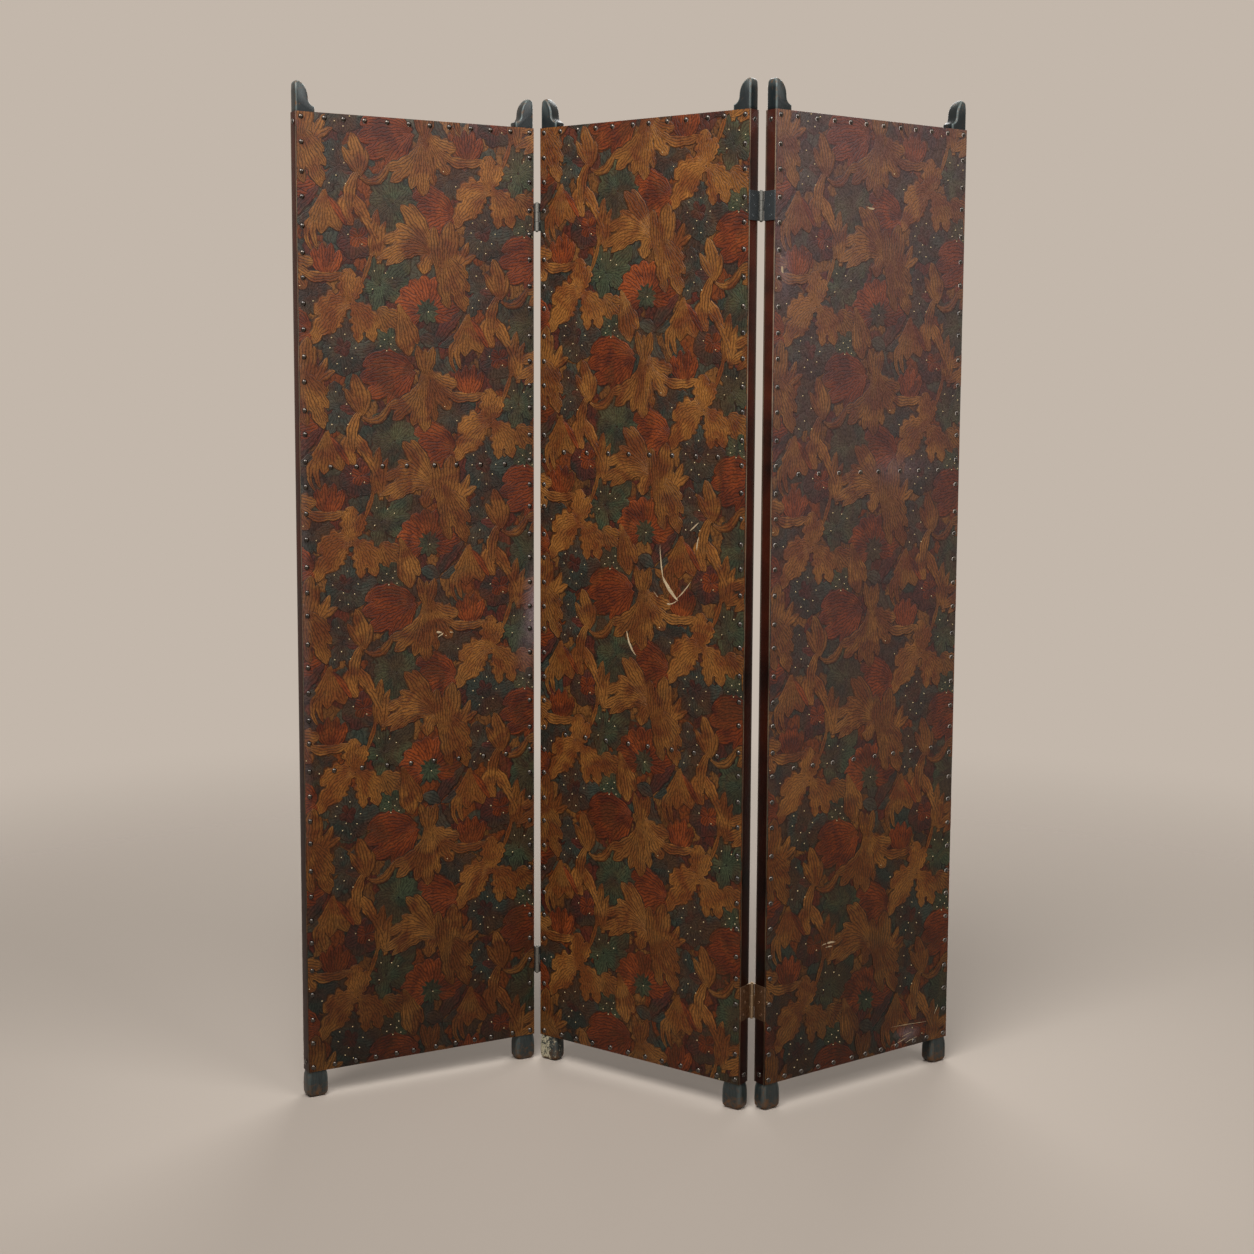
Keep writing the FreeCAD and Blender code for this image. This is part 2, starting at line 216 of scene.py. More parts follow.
@dataclass(frozen=True)
class GlazedLeather(Finish):
    """Embossed calf leather, painted and varnished: tooled lines with painted highlights on their ridges,
    ragged dark outlines, a satin varnish, a painted sheen that fades downwards and painted shade near the
    foot.

    With no dye of its own it is the ground between the motifs.
    """

    deep: str = ""
    pale: str = ""
    stain: str = ""
    line_mm: float = 5.6
    line_dark: float = 0.36
    waver: float = 3.6
    stipple: float = 0.34
    mottle_mm: float = 60.0
    stain_mm: float = 45.0
    fray_mm: float = 9.0
    grain_mm: float = 4.0
    roughness: float = 0.42
    sheen_level: float = 0.22
    wear_and_painted_light: str = "#7c696b"
    painted_foot_shade: float = 0.2
    run_mm: float = 44.0
    run_share: float = 0.1
    runs: tuple[str, ...] = ("#26302c", "#33211b", "#6a2f10", "#7a4a1c", "#8a5a26")
    outline: tuple[Point, ...] = ((0.1, 0.6), (0.2, 0.25), (0.53, 0.28), (0.68, 1.3), (0.92, 1.0))
    ground: Patchwork = Patchwork()

    def motif(self, tree: Tree, place: Socket) -> tuple[Socket, Socket]:
        """Paints a motif over the ground, with the dyes run into each other at its ragged border.

        Args:
            tree: The finish's node tree.
            place: Where on the screen a point lies.

        Returns:
            The colour, and how far a point is out of the grooves.
        """
        rim = add(tree, "Attribute", out="Fac", attribute_name="rim")
        tint = add(tree, "Attribute", out="Fac", attribute_name="tint")
        mottle = add(tree, "TexNoise", {"Vector": place, "Scale": per(self.mottle_mm), "Detail": 4.0})
        stain = {"Vector": place, "Scale": per(self.stain_mm), "Detail": 5.0, "Distortion": 0.6}
        run = add(tree, "TexNoise", stain)
        fray = add(tree, "TexNoise", {"Vector": place, "Scale": per(self.fray_mm), "Detail": 3.0})
        wave = {"Vector": add(tree, "UVMap", uv_map="vein"), "Scale": bands(self.line_mm)}
        wave |= {"Distortion": self.waver, "Detail": 1.5, "Detail Scale": 1.2}
        lines = add(tree, "TexWave", wave, "Fac")
        share = add(tree, "Math", {0: mottle, 1: tint}, operation="ADD")
        spread = add(tree, "MapRange", {"Value": share, "From Min": 0.6, "From Max": 1.4})
        dyes = {UNDER: linear(self.deep), OVER: linear(self.pale)}
        dyed = add(tree, "Mix", {SHARE: spread, **dyes}, MIXED, **BLEND)
        bled = add(tree, "MapRange", {"Value": run, "From Min": 0.4, "From Max": 0.6, "To Max": 0.9})
        stained = add(tree, "Mix", {SHARE: bled, UNDER: dyed, OVER: linear(self.stain)}, MIXED, **BLEND)
        depths = {"From Min": 0.02, "From Max": 0.28, "To Min": self.line_dark}
        cut = add(tree, "MapRange", {"Value": lines, **depths})
        # A painted highlight on the ridge beside each tooled line
        crests = {"From Min": 0.7, "From Max": 0.98, "To Min": 1.0, "To Max": 1.25}
        ridge = add(tree, "MapRange", {"Value": lines, **crests})
        tooling = add(tree, "Math", {0: cut, 1: ridge}, operation="MULTIPLY")
        tooled = add(tree, "Mix", {SHARE: 1.0, UNDER: stained, OVER: tooling}, MIXED, **DARKEN)
        beneath, hollow = self.ground.paint(tree, place)
        edge = add(tree, "Math", {0: fray, 1: 1.4, 2: rim}, operation="MULTIPLY_ADD")
        keep = add(tree, "MapRange", {"Value": edge, "From Min": 0.5, "From Max": 1.05})
        over = add(tree, "Mix", {SHARE: keep, UNDER: beneath, OVER: tooled}, MIXED, **BLEND)
        verge = add(tree, "Math", {0: fray, 1: 0.5, 2: rim}, operation="MULTIPLY_ADD")
        # The outline is a dark groove, with a painted highlight on the ridge inside it
        stops = [(at, (grey, grey, grey, 1.0)) for at, grey in self.outline]
        outline = add(tree, "ValToRGB", {0: verge}, stops=stops)
        colour = add(tree, "Mix", {SHARE: 1.0, UNDER: over, OVER: outline}, MIXED, **DARKEN)
        depth = add(tree, "Mix", {SHARE: keep, LEVEL_UNDER: hollow, LEVEL_OVER: cut})
        return colour, add(tree, "Math", {0: depth, 1: outline}, operation="MULTIPLY")

    def coat(self, tree: Tree, place: Socket) -> dict:
        """Works out the painted and rubbed leather, with its painted sheen and the painted shade near the
        foot.

        Args:
            tree: The finish's node tree.
            place: Where on the screen a point lies.

        Returns:
            What the shader's inputs take.
        """
        wear_and_painted_light = add(tree, "Attribute", out="Fac", attribute_name="wear_and_painted_light")
        tooled, groove = self.motif(tree, place) if self.pale else self.ground.paint(tree, place)
        streaks = {"Vector": place, "Scale": per(self.run_mm), "Detail": 4.0, "Distortion": 0.8}
        stops = [(0.36 + 0.07 * number, linear(dye)) for number, dye in enumerate(self.runs)]
        thin = add(tree, "ValToRGB", {0: add(tree, "TexNoise", streaks)}, stops=stops)
        painted = add(tree, "Mix", {SHARE: self.run_share, UNDER: tooled, OVER: thin}, MIXED, **BLEND)
        # Leather grain, drawn coarser than life so that it shows
        grain = add(tree, "TexNoise", {"Vector": place, "Scale": per(self.grain_mm), "Detail": 2.0})
        dust = {"From Min": 0.36, "From Max": 0.6, "To Min": 1 - self.stipple}
        powder = add(tree, "MapRange", {"Value": grain, **dust})
        aged = add(tree, "Mix", {SHARE: 1.0, UNDER: painted, OVER: powder}, MIXED, **DARKEN)
        # Where the attribute is below zero, painted shade darkens the leather near the foot of a panel
        painted_foot_shade = add(tree, "MapRange", {"Value": wear_and_painted_light, "From Min": -1.0, "From Max": 0.0, "To Min": self.painted_foot_shade})
        foot_shaded = add(tree, "Mix", {SHARE: 1.0, UNDER: aged, OVER: painted_foot_shade}, MIXED, **DARKEN)
        # Paler where rubbed and where the painted sheen lies
        haze_and_sheen = add(tree, "Math", {0: wear_and_painted_light, 1: powder}, operation="MULTIPLY")
        colour = add(tree, "Mix", {SHARE: haze_and_sheen, UNDER: foot_shaded, OVER: linear(self.wear_and_painted_light)}, MIXED, **BLEND)
        height = add(tree, "Math", {0: grain, 1: 0.25, 2: groove}, operation="MULTIPLY_ADD")
        dull = {"To Min": self.roughness - 0.1, "To Max": self.roughness + 0.12}
        # Old wax dulls the varnish
        return {
            "Base Color": colour,
            "Roughness": add(tree, "MapRange", {"Value": grain, **dull}),
            "Normal": add(tree, "Bump", {"Strength": 0.6, "Distance": 0.6 * MM, "Height": height}),
            "Specular IOR Level": self.sheen_level,
        }


@dataclass(frozen=True)
class PlainLeather(Finish):
    """Dyed hide with no tooling: soft pores, creases, and paler places where it is worn or where a painted
    sheen lies.
    """

    deep: str
    pale: str
    worn_and_lit: str
    cloud_mm: float = 90.0
    pore_mm: float = 3.5
    roughness: float = 0.45
    gloss_level: float = 0.4

    def coat(self, tree: Tree, place: Socket) -> dict:
        """Works out the dyed hide.

        Args:
            tree: The finish's node tree.
            place: Where on the screen a point lies.

        Returns:
            What the shader's inputs take.
        """
        wear_and_light = add(tree, "Attribute", out="Fac", attribute_name="wear_and_painted_light")
        clouds = {"Vector": place, "Scale": per(self.cloud_mm), "Detail": 6.0, "Roughness": 0.6}
        cloud = add(tree, "TexNoise", clouds)
        # Pores, drawn coarser than life so that they show
        pore = add(tree, "TexVoronoi", {"Vector": place, "Scale": per(self.pore_mm)}, "Distance")
        spread = add(tree, "MapRange", {"Value": cloud, "From Min": 0.3, "From Max": 0.7})
        dyes = {UNDER: linear(self.deep), OVER: linear(self.pale)}
        dyed = add(tree, "Mix", {SHARE: spread, **dyes}, MIXED, **BLEND)
        # Paler where worn and where the painted sheen lies
        patch = add(tree, "Math", {0: wear_and_light, 1: spread}, operation="MULTIPLY")
        colour = add(tree, "Mix", {SHARE: patch, UNDER: dyed, OVER: linear(self.worn_and_lit)}, MIXED, **BLEND)
        dull = {"To Min": self.roughness - 0.1, "To Max": self.roughness + 0.1}
        # Handling has dulled the wax
        return {
            "Base Color": colour,
            "Roughness": add(tree, "MapRange", {"Value": cloud, **dull}),
            "Normal": add(tree, "Bump", {"Strength": 0.35, "Distance": 0.6 * MM, "Height": pore}),
            "Specular IOR Level": self.gloss_level,
        }


@dataclass(frozen=True)
class PaintedWood(Finish):
    """Beech under old oil paint: brush marks, paler rubbed paint that also paints a highlight on the
    arrises, and brown wood where the arrises have worn through.
    """

    paint: str
    shadow: str
    polish_and_highlight: str
    wood: str
    primer: str
    chip_mm: float = 9.0
    brush_mm: float = 3.0
    flake_mm: float = 6.0
    scuff_mm: float = 30.0
    scuffed: float = 0.24
    rubbed_through: float = 0.15
    roughness: float = 0.36
    gloss_level: float = 0.3

    def coat(self, tree: Tree, place: Socket) -> dict:
        """Works out the worn paint.

        Args:
            tree: The finish's node tree.
            place: Where on the screen a point lies.

        Returns:
            What the shader's inputs take.
        """
        worn_and_lit = add(tree, "Attribute", out="Fac", attribute_name="wear_and_painted_light")
        # The brush ran up and down the upright
        stretched = add(tree, "Mapping", {"Vector": place, "Scale": (1.0, 1.0, 0.12)})
        brush = add(tree, "TexNoise", {"Vector": stretched, "Scale": per(self.brush_mm), "Detail": 4.0})
        chips = {"Vector": place, "Scale": per(self.chip_mm), "Detail": 5.0, "Roughness": 0.65}
        chip = add(tree, "TexNoise", chips)
        paints = {UNDER: linear(self.shadow), OVER: linear(self.paint)}
        painted = add(tree, "Mix", {SHARE: brush, **paints}, MIXED, **BLEND)
        # Painted highlight: paler, rubbed paint where the arrises are marked
        polish_and_highlight_share = add(tree, "Math", {0: worn_and_lit, 1: brush}, operation="MULTIPLY")
        polished_and_lit = add(tree, "Mix", {SHARE: polish_and_highlight_share, UNDER: painted, OVER: linear(self.polish_and_highlight)}, MIXED, **BLEND)
        loss = add(tree, "Math", {0: worn_and_lit, 1: self.rubbed_through, 2: chip}, operation="MULTIPLY_ADD")
        # The floor and the broom have scuffed the feet
        above = add(tree, "SeparateXYZ", {"Vector": place}, "Z")
        knocks = {"From Max": self.scuff_mm * MM, "To Min": self.scuffed, "To Max": 0.0}
        scuff = add(tree, "MapRange", {"Value": above, **knocks})
        all_loss = add(tree, "Math", {0: loss, 1: scuff}, operation="ADD")
        through = add(tree, "MapRange", {"Value": all_loss, "From Min": 0.6, "From Max": 0.84})
        rubbed = add(tree, "Mix", {SHARE: through, UNDER: polished_and_lit, OVER: linear(self.wood)}, MIXED, **BLEND)
        flaked = add(tree, "Attribute", out="Fac", attribute_name="flake")
        scales = {"Vector": place, "Scale": per(self.flake_mm), "Detail": 4.0, "Roughness": 0.7}
        lifted = add(tree, "Math", {0: flaked, 1: add(tree, "TexNoise", scales)}, operation="MULTIPLY")
        bare = add(tree, "MapRange", {"Value": lifted, "From Min": 0.42, "From Max": 0.5})
        colour = add(tree, "Mix", {SHARE: bare, UNDER: rubbed, OVER: linear(self.primer)}, MIXED, **BLEND)
        height = add(tree, "Math", {0: brush, 1: through}, operation="SUBTRACT")
        dull = {"To Min": self.roughness, "To Max": self.roughness + 0.25}
        # Old paint has lost its oil
        return {
            "Base Color": colour,
            "Roughness": add(tree, "MapRange", {"Value": through, **dull}),
            "Normal": add(tree, "Bump", {"Strength": 0.4, "Distance": 0.3 * MM, "Height": height}),
            "Specular IOR Level": self.gloss_level,
        }


@dataclass(frozen=True)
class AgedMetal(Finish):
    """Wrought or cast metal with a dull skin: patches of tarnish, small pits, brighter rubbed places that
    also paint a highlight.
    """

    skin: str
    bright: str
    handled_and_lit: str
    patch_mm: float = 6.0
    pit_mm: float = 1.2
    metallic: float = 1.0
    roughness: float = 0.4
    lacquer: float = 0.0

    def coat(self, tree: Tree, place: Socket) -> dict:
        """Works out the tarnished skin.

        Args:
            tree: The finish's node tree.
            place: Where on the screen a point lies.

        Returns:
            What the shader's inputs take.
        """
        patch = add(tree, "TexNoise", {"Vector": place, "Scale": per(self.patch_mm), "Detail": 4.0})
        pit = add(tree, "TexNoise", {"Vector": place, "Scale": per(self.pit_mm), "Detail": 2.0})
        spread = add(tree, "MapRange", {"Value": patch, "From Min": 0.35, "From Max": 0.7})
        skins = {UNDER: linear(self.skin), OVER: linear(self.bright)}
        aged = add(tree, "Mix", {SHARE: spread, **skins}, MIXED, **BLEND)
        # Marked places are rubbed brighter, which also paints a highlight
        wear_and_painted_light = add(tree, "Attribute", out="Fac", attribute_name="wear_and_painted_light")
        colour = add(tree, "Mix", {SHARE: wear_and_painted_light, UNDER: aged, OVER: linear(self.handled_and_lit)}, MIXED, **BLEND)
        dull = {"To Min": self.roughness + 0.15, "To Max": self.roughness - 0.08}
        return {
            "Base Color": colour,
            "Roughness": add(tree, "MapRange", {"Value": spread, **dull}),
            "Normal": add(tree, "Bump", {"Strength": 0.25, "Distance": 0.2 * MM, "Height": pit}),
            "Metallic": self.metallic,
            "Coat Weight": self.lacquer,
        }


@dataclass(frozen=True)
class SawnWood(Finish):
    """Plain beech of the hidden rails: straight grain along the rail and small flecks."""

    deep: str
    pale: str
    ring_mm: float = 7.0
    roughness: float = 0.65

    def coat(self, tree: Tree, place: Socket) -> dict:
        """Works out the sawn grain.

        Args:
            tree: The finish's node tree.
            place: Where on the screen a point lies.

        Returns:
            What the shader's inputs take.
        """
        along = add(tree, "Mapping", {"Vector": place, "Scale": (0.08, 0.08, 1.0)})
        rings = {"Vector": along, "Scale": per(self.ring_mm), "Detail": 5.0, "Distortion": 0.4}
        grain = add(tree, "TexNoise", rings)
        dyes = {UNDER: linear(self.deep), OVER: linear(self.pale)}
        return {
            "Base Color": add(tree, "Mix", {SHARE: grain, **dyes}, MIXED, **BLEND),
            "Roughness": self.roughness,
            "Normal": add(tree, "Bump", {"Strength": 0.2, "Distance": 0.2 * MM, "Height": grain}),
        }


@dataclass(frozen=True)
class FloorPlaster(Finish):
    """Matt plaster of the studio's floor, which fades out towards its border."""

    pale: str
    fade_from: float = 0.9
    fade_to: float = 3.6
    roughness: float = 0.9

    def coat(self, tree: Tree, place: Socket) -> dict:
        """Works out the fading plaster.

        Args:
            tree: The finish's node tree.
            place: Where on the floor a point lies.

        Returns:
            What the shader's inputs take.
        """
        away = add(tree, "VectorMath", {0: place}, "Value", operation="LENGTH")
        fade = {"From Min": self.fade_from, "From Max": self.fade_to, "To Min": 1.0, "To Max": 0.0}
        return {
            "Base Color": linear(self.pale),
            "Roughness": self.roughness,
            "Alpha": add(tree, "MapRange", {"Value": away, **fade}, interpolation_type="SMOOTHSTEP"),
        }


@dataclass
class Workshop:
    """Every finish of the screen, made once and handed to the pieces."""

    made: dict[str, bpy.types.Material] = field(default_factory=dict)
    glazes: list[bpy.types.Material] = field(default_factory=list)

    def __post_init__(self) -> None:
        """Builds the finishes, those of the foliage in the order of its dyes."""
        dark = {"line_dark": 0.5, "stipple": 0.4}
        glazes = [
            GlazedLeather("glazed_leather_ochre", "#6b421a", "#8e5c28", "#582a10"),
            GlazedLeather("glazed_leather_tan", "#6e441a", "#905c27", "#633012", line_dark=0.48, waver=4.5),
            GlazedLeather("glazed_leather_rust", "#66290c", "#8b4118", "#45190a", line_mm=5.5, waver=6.0),
            GlazedLeather("glazed_leather_green", "#272e20", "#3f4730", "#2b261c", **dark),
            GlazedLeather("glazed_leather_slate", "#222720", "#373d34", "#332118", **dark),
            GlazedLeather("glazed_leather_maroon", "#361711", "#58291f", "#27241e", **dark),
            PlainLeather("gilt_and_highlight_leather", "#a88f66", "#d2bc8e", "#8d7a5c", 20.0, roughness=0.3),
            PlainLeather("bare_leather", "#9c8465", "#cdb793", "#8a6c50", 20.0, roughness=0.6),
        ]
        others = [
            GlazedLeather("glazed_leather_ground"),
            PlainLeather("calf_leather_brown", "#22110b", "#3c2014", "#654832"),
            PlainLeather("strip_leather_red_brown", "#0b0706", "#3d160a", "#8f7f66", 110.0, gloss_level=0.1),
            PaintedWood("painted_beech_blue_black", "#1c2426", "#0e1213", "#6d7875", "#5e4128", "#b5ad92"),
            AgedMetal("bronzed_brass_nails", "#211b17", "#4c4238", "#4c4238", roughness=0.15, lacquer=1.0),
            AgedMetal("dull_iron", "#42474a", "#5d6061", "#7d7b74", metallic=0.85, roughness=0.45),
            AgedMetal("tarnished_brass", "#6e5340", "#8f745b", "#a08b70", roughness=0.42),
            SawnWood("sawn_beech", "#7a5636", "#a67c50"),
        ]
        for finish in [*glazes, *others]:
            self.made[finish.name] = finish.material()
        self.glazes = [self.made[glaze.name] for glaze in glazes]

    def __getitem__(self, name: str) -> bpy.types.Material:
        """The finish of that name."""
        return self.made[name]


def stored(name: str, mesh: BMesh) -> bpy.types.Mesh:
    """Stores a finished mesh.

    Args:
        name: Its name.
        mesh: The mesh; it is freed.

    Returns:
        The stored mesh.
    """
    data = bpy.data.meshes.new(name)
    mesh.to_mesh(data)
    mesh.free()
    return data


def shown(name: str, data: bpy.types.ID) -> bpy.types.Object:
    """Puts a mesh, a lamp or a camera into the scene.

    Args:
        name: The object's name.
        data: What it shows.

    Returns:
        The new object.
    """
    made = bpy.data.objects.new(name, data)
    bpy.context.scene.collection.objects.link(made)
    return made


def piece(
    name: str, mesh: BMesh, body: str, finishes: list[bpy.types.Material], nodes: list[str]
) -> bpy.types.Object:
    """Turns a finished mesh into a piece that rides on a body and stands for CAD nodes.

    Args:
        name: The piece's name.
        mesh: The mesh in metres, in place; it is freed.
        body: The body that it rides on.
        finishes: Its materials, in slot order.
        nodes: The CAD nodes that it replaces.

    Returns:
        The new object.
    """
    data = stored(name, mesh)
    for finish in finishes:
        data.materials.append(finish)
    made = shown(name, data)
    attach(made, body)
    if nodes:
        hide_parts(*nodes)
    LOG.info("%s: %d faces", name, len(data.polygons))
    return made


def stamp(mesh: BMesh, pattern: bpy.types.Mesh, spot: Matrix) -> None:
    """Adds a moved copy of a stored mesh.

    Args:
        mesh: The mesh that gets the copy.
        pattern: The stored mesh.
        spot: The copy's move.
    """
    before = len(mesh.verts)
    mesh.from_mesh(pattern)
    mesh.verts.ensure_lookup_table()
    bmesh.ops.transform(mesh, matrix=spot, verts=mesh.verts[before:])


def block(mesh: BMesh, middle: tuple, size: tuple) -> None:
    """Adds a box of that size about that middle."""
    spot = Matrix.Translation(middle) @ Matrix.Diagonal((*size, 1.0))
    bmesh.ops.create_cube(mesh, size=1.0, matrix=spot)


def trim(mesh: BMesh, spot: tuple, way: tuple) -> None:
    """Cuts away all that lies past a plane through that spot, in that direction."""
    everything = mesh.verts[:] + mesh.edges[:] + mesh.faces[:]
    bmesh.ops.bisect_plane(mesh, geom=everything, plane_co=spot, plane_no=way, clear_outer=True)


def smooth(mesh: BMesh) -> None:
    """Shades every face smoothly."""
    for face in mesh.faces:
        face.smooth = True


def merged(node: str) -> BMesh:
    """Copies a CAD node and joins its loose triangles.

    Args:
        node: The CAD node.

    Returns:
        The copy, in metres.
    """
    mesh = bmesh.new()
    mesh.from_mesh(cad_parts[node].data)
    bmesh.ops.remove_doubles(mesh, verts=mesh.verts, dist=0.01 * MM)
    return mesh


def softened(node: str, arris: float, segments: int) -> BMesh:
    """Copies a CAD node and rounds its sharp arrises.

    Args:
        node: The CAD node.
        arris: The rounding's width in metres.
        segments: The rounding's steps.

    Returns:
        The rounded copy, with its worn arrises marked.
    """
    mesh = merged(node)
    bmesh.ops.dissolve_limit(mesh, angle_limit=math.radians(1), verts=mesh.verts, edges=mesh.edges)
    corner = math.radians(35)
    sharp = [e for e in mesh.edges if len(e.link_faces) == 2 and e.calc_face_angle() > corner]
    wear_and_painted_light = mesh.faces.layers.float.new("wear_and_painted_light")
    shape = {"offset": arris, "segments": segments, "profile": 0.5, "affect": "EDGES", "material": -1}
    rounded = bmesh.ops.bevel(mesh, geom=sharp, clamp_overlap=True, **shape)
    for face in mesh.faces:
        face.smooth = False
    for face in rounded["faces"]:
        face[wear_and_painted_light] = 1.0
        face.smooth = True
    return mesh


@dataclass(frozen=True)
class PanelSizes:
    """A panel in its own frame, in millimetres: x along it, y through it, z up."""

    width: float = 457.0
    low: float = 48.0
    high: float = 1775.0
    wood_front: float = -13.0
    wood_back: float = 13.0
    front: float = -15.0
    back: float = 15.0
    strip: float = 1.5
    post: float = 35.5

    @property
    def tall(self) -> float:
        """The leather's height."""
        return self.high - self.low

    @property
    def middle(self) -> float:
        """The height of the leather's middle."""
        return (self.low + self.high) / 2


@dataclass(frozen=True)
class PanelStand:
    """Where a panel stands: a hinge pin on the floor plan, that pin on the panel, and the panel's turn."""

    name: str
    pin: Point
    hold: Point
    turn: float
    row: int
    cross_drops: Point
    pattern_drop: float

    @property
    def body(self) -> str:
        """The moving body that the panel belongs to."""
        return f"{self.name}_panel"

    @property
    def framing(self) -> list[str]:
        """The CAD nodes that the panel's leather is stretched on."""
        return [self.node(n) for n in ("left_stile", "right_stile", "top_rail", "bottom_rail")]

    def node(self, name: str) -> str:
        """The name of one of the panel's pieces."""
        return f"{self.name}_panel_{name}"

    def matrix(self) -> Matrix:
        """The move from the panel's own millimetres to where it stands, in metres.

        Returns:
            The move.
        """
        turned = Matrix.Rotation(math.radians(self.turn), 4, "Z")
        held = Matrix.Translation((-self.hold[0], -self.hold[1], 0.0))
        return Matrix.Scale(MM, 4) @ Matrix.Translation((*self.pin, 0.0)) @ turned @ held

    def erect(
        self, name: str, mesh: BMesh, finishes: list[bpy.types.Material], slot: str, *nodes: str
    ) -> bpy.types.Object:
        """Stands a mesh of the panel's own millimetres in place, as a piece for the panel's nodes named."""
        bmesh.ops.transform(mesh, matrix=self.matrix(), verts=mesh.verts)
        return piece(self.node(name), mesh, self.body, finishes, [self.node(n) for n in nodes])


SIZES = PanelSizes()
LEFT_PIN = (-185.103, 121.386)
RIGHT_PIN = (211.889, -123.856)
STANDS = (
    PanelStand("left", LEFT_PIN, (461.0, -19.5), 27.7, 0, (619.0, 1169.0), 0.0),
    PanelStand("middle", LEFT_PIN, (-4.0, -19.5), -36.5, 1, (596.0, 1130.0), -27.0),
    PanelStand("right", RIGHT_PIN, (-4.0, 19.5), 35.0, 2, (625.0, 1151.0), 3.0),
)


# A blade's outline: how deep its scallops cut, how far its edge wavers and half its width's share
SCALLOP = 0.36
WAVER = 0.1
HALF_SHARE = 0.57


@dataclass(frozen=True)
class Blade:
    """One blade of the foliage: a bent spine, a swelling width and a scalloped edge."""

    dye: Dye
    layer: int
    root: Point
    bend: Point
    tip: Point
    width: float
    belly: float = 0.55
    full: float = 0.7
    stalk: float = 0.0
    lobes: int = 0

    def spine(self, t: float) -> Vector:
        """The spine's point a share of the way from the root to the tip."""
        a, b, c = (Vector((p[0], SIZES.high - p[1])) for p in (self.root, self.bend, self.tip))
        return a * (1 - t) ** 2 + b * (2 * t * (1 - t)) + c * t**2

    def across(self, t: float) -> Vector:
        """The direction across the spine, to the right of its run."""
        step = (self.spine(min(1.0, t + 0.02)) - self.spine(max(0.0, t - 0.02))).normalized()
        return Vector((step.y, -step.x))

    def half_width(self, t: float, side: float) -> float:
        """Half the blade's width there, on one side of its spine.

        Args:
            t: The share of the way from the root to the tip.
            side: Negative on the left of the spine's run and positive on the right.

        Returns:
            The half width.
        """
        swell = max(0.0, math.sin(math.pi * t ** (math.log(0.5) / math.log(self.belly)))) ** self.full
        if t < self.belly:
            swell = max(swell, self.stalk * (1 - t / self.belly))
        scallop = 1 - SCALLOP * (1 - abs(math.sin(math.pi * self.lobes * t))) if self.lobes else 1.0
        ragged = 1 + WAVER * math.sin(19 * t + self.tip[0] + 2 * math.copysign(1, side))
        return self.width * HALF_SHARE * swell * scallop * ragged


def spray(dye: Dye, layer: int, root: Point, leaves: list, **shape) -> list[Blade]:
    """Blades that fan out of one root.

    Args:
        dye: Their colour.
        layer: Their level in the relief.
        root: Where they start.
        leaves: For each blade its bend, tip and width.
        **shape: Other fields of every blade.

    Returns:
        The blades.
    """
    return [Blade(dye, layer, root, bend, tip, width, **shape) for bend, tip, width in leaves]


def rosette(
    dye: Dye,
    layer: int,
    centre: Point,
    reach: float,
    turns: list,
    width: float,
    ragged: float = 0.0,
    **shape,
) -> list[Blade]:
    """Petals that radiate from a centre.

    Args:
        dye: Their colour.
        layer: Their level in the relief.
        centre: Where they start.
        reach: How far they run.
        turns: Each petal's direction in degrees, 0 to the right and 90 up.
        width: A petal's width.
        ragged: The share by which their lengths differ.
        **shape: Other fields of every petal.

    Returns:
        The petals.
    """
    petals = []
    for number, turn in enumerate(turns):
        far = reach * (1 + ragged * math.sin(2.3 * number + centre[0]))
        run = (math.cos(math.radians(turn)) * far, -math.sin(math.radians(turn)) * far)
        tip = (centre[0] + run[0], centre[1] + run[1])
        bend = (centre[0] + run[0] * 0.5 - run[1] * 0.1, centre[1] + run[1] * 0.5 + run[0] * 0.1)
        petals.append(Blade(dye, layer, centre, bend, tip, width, **shape))
    return petals


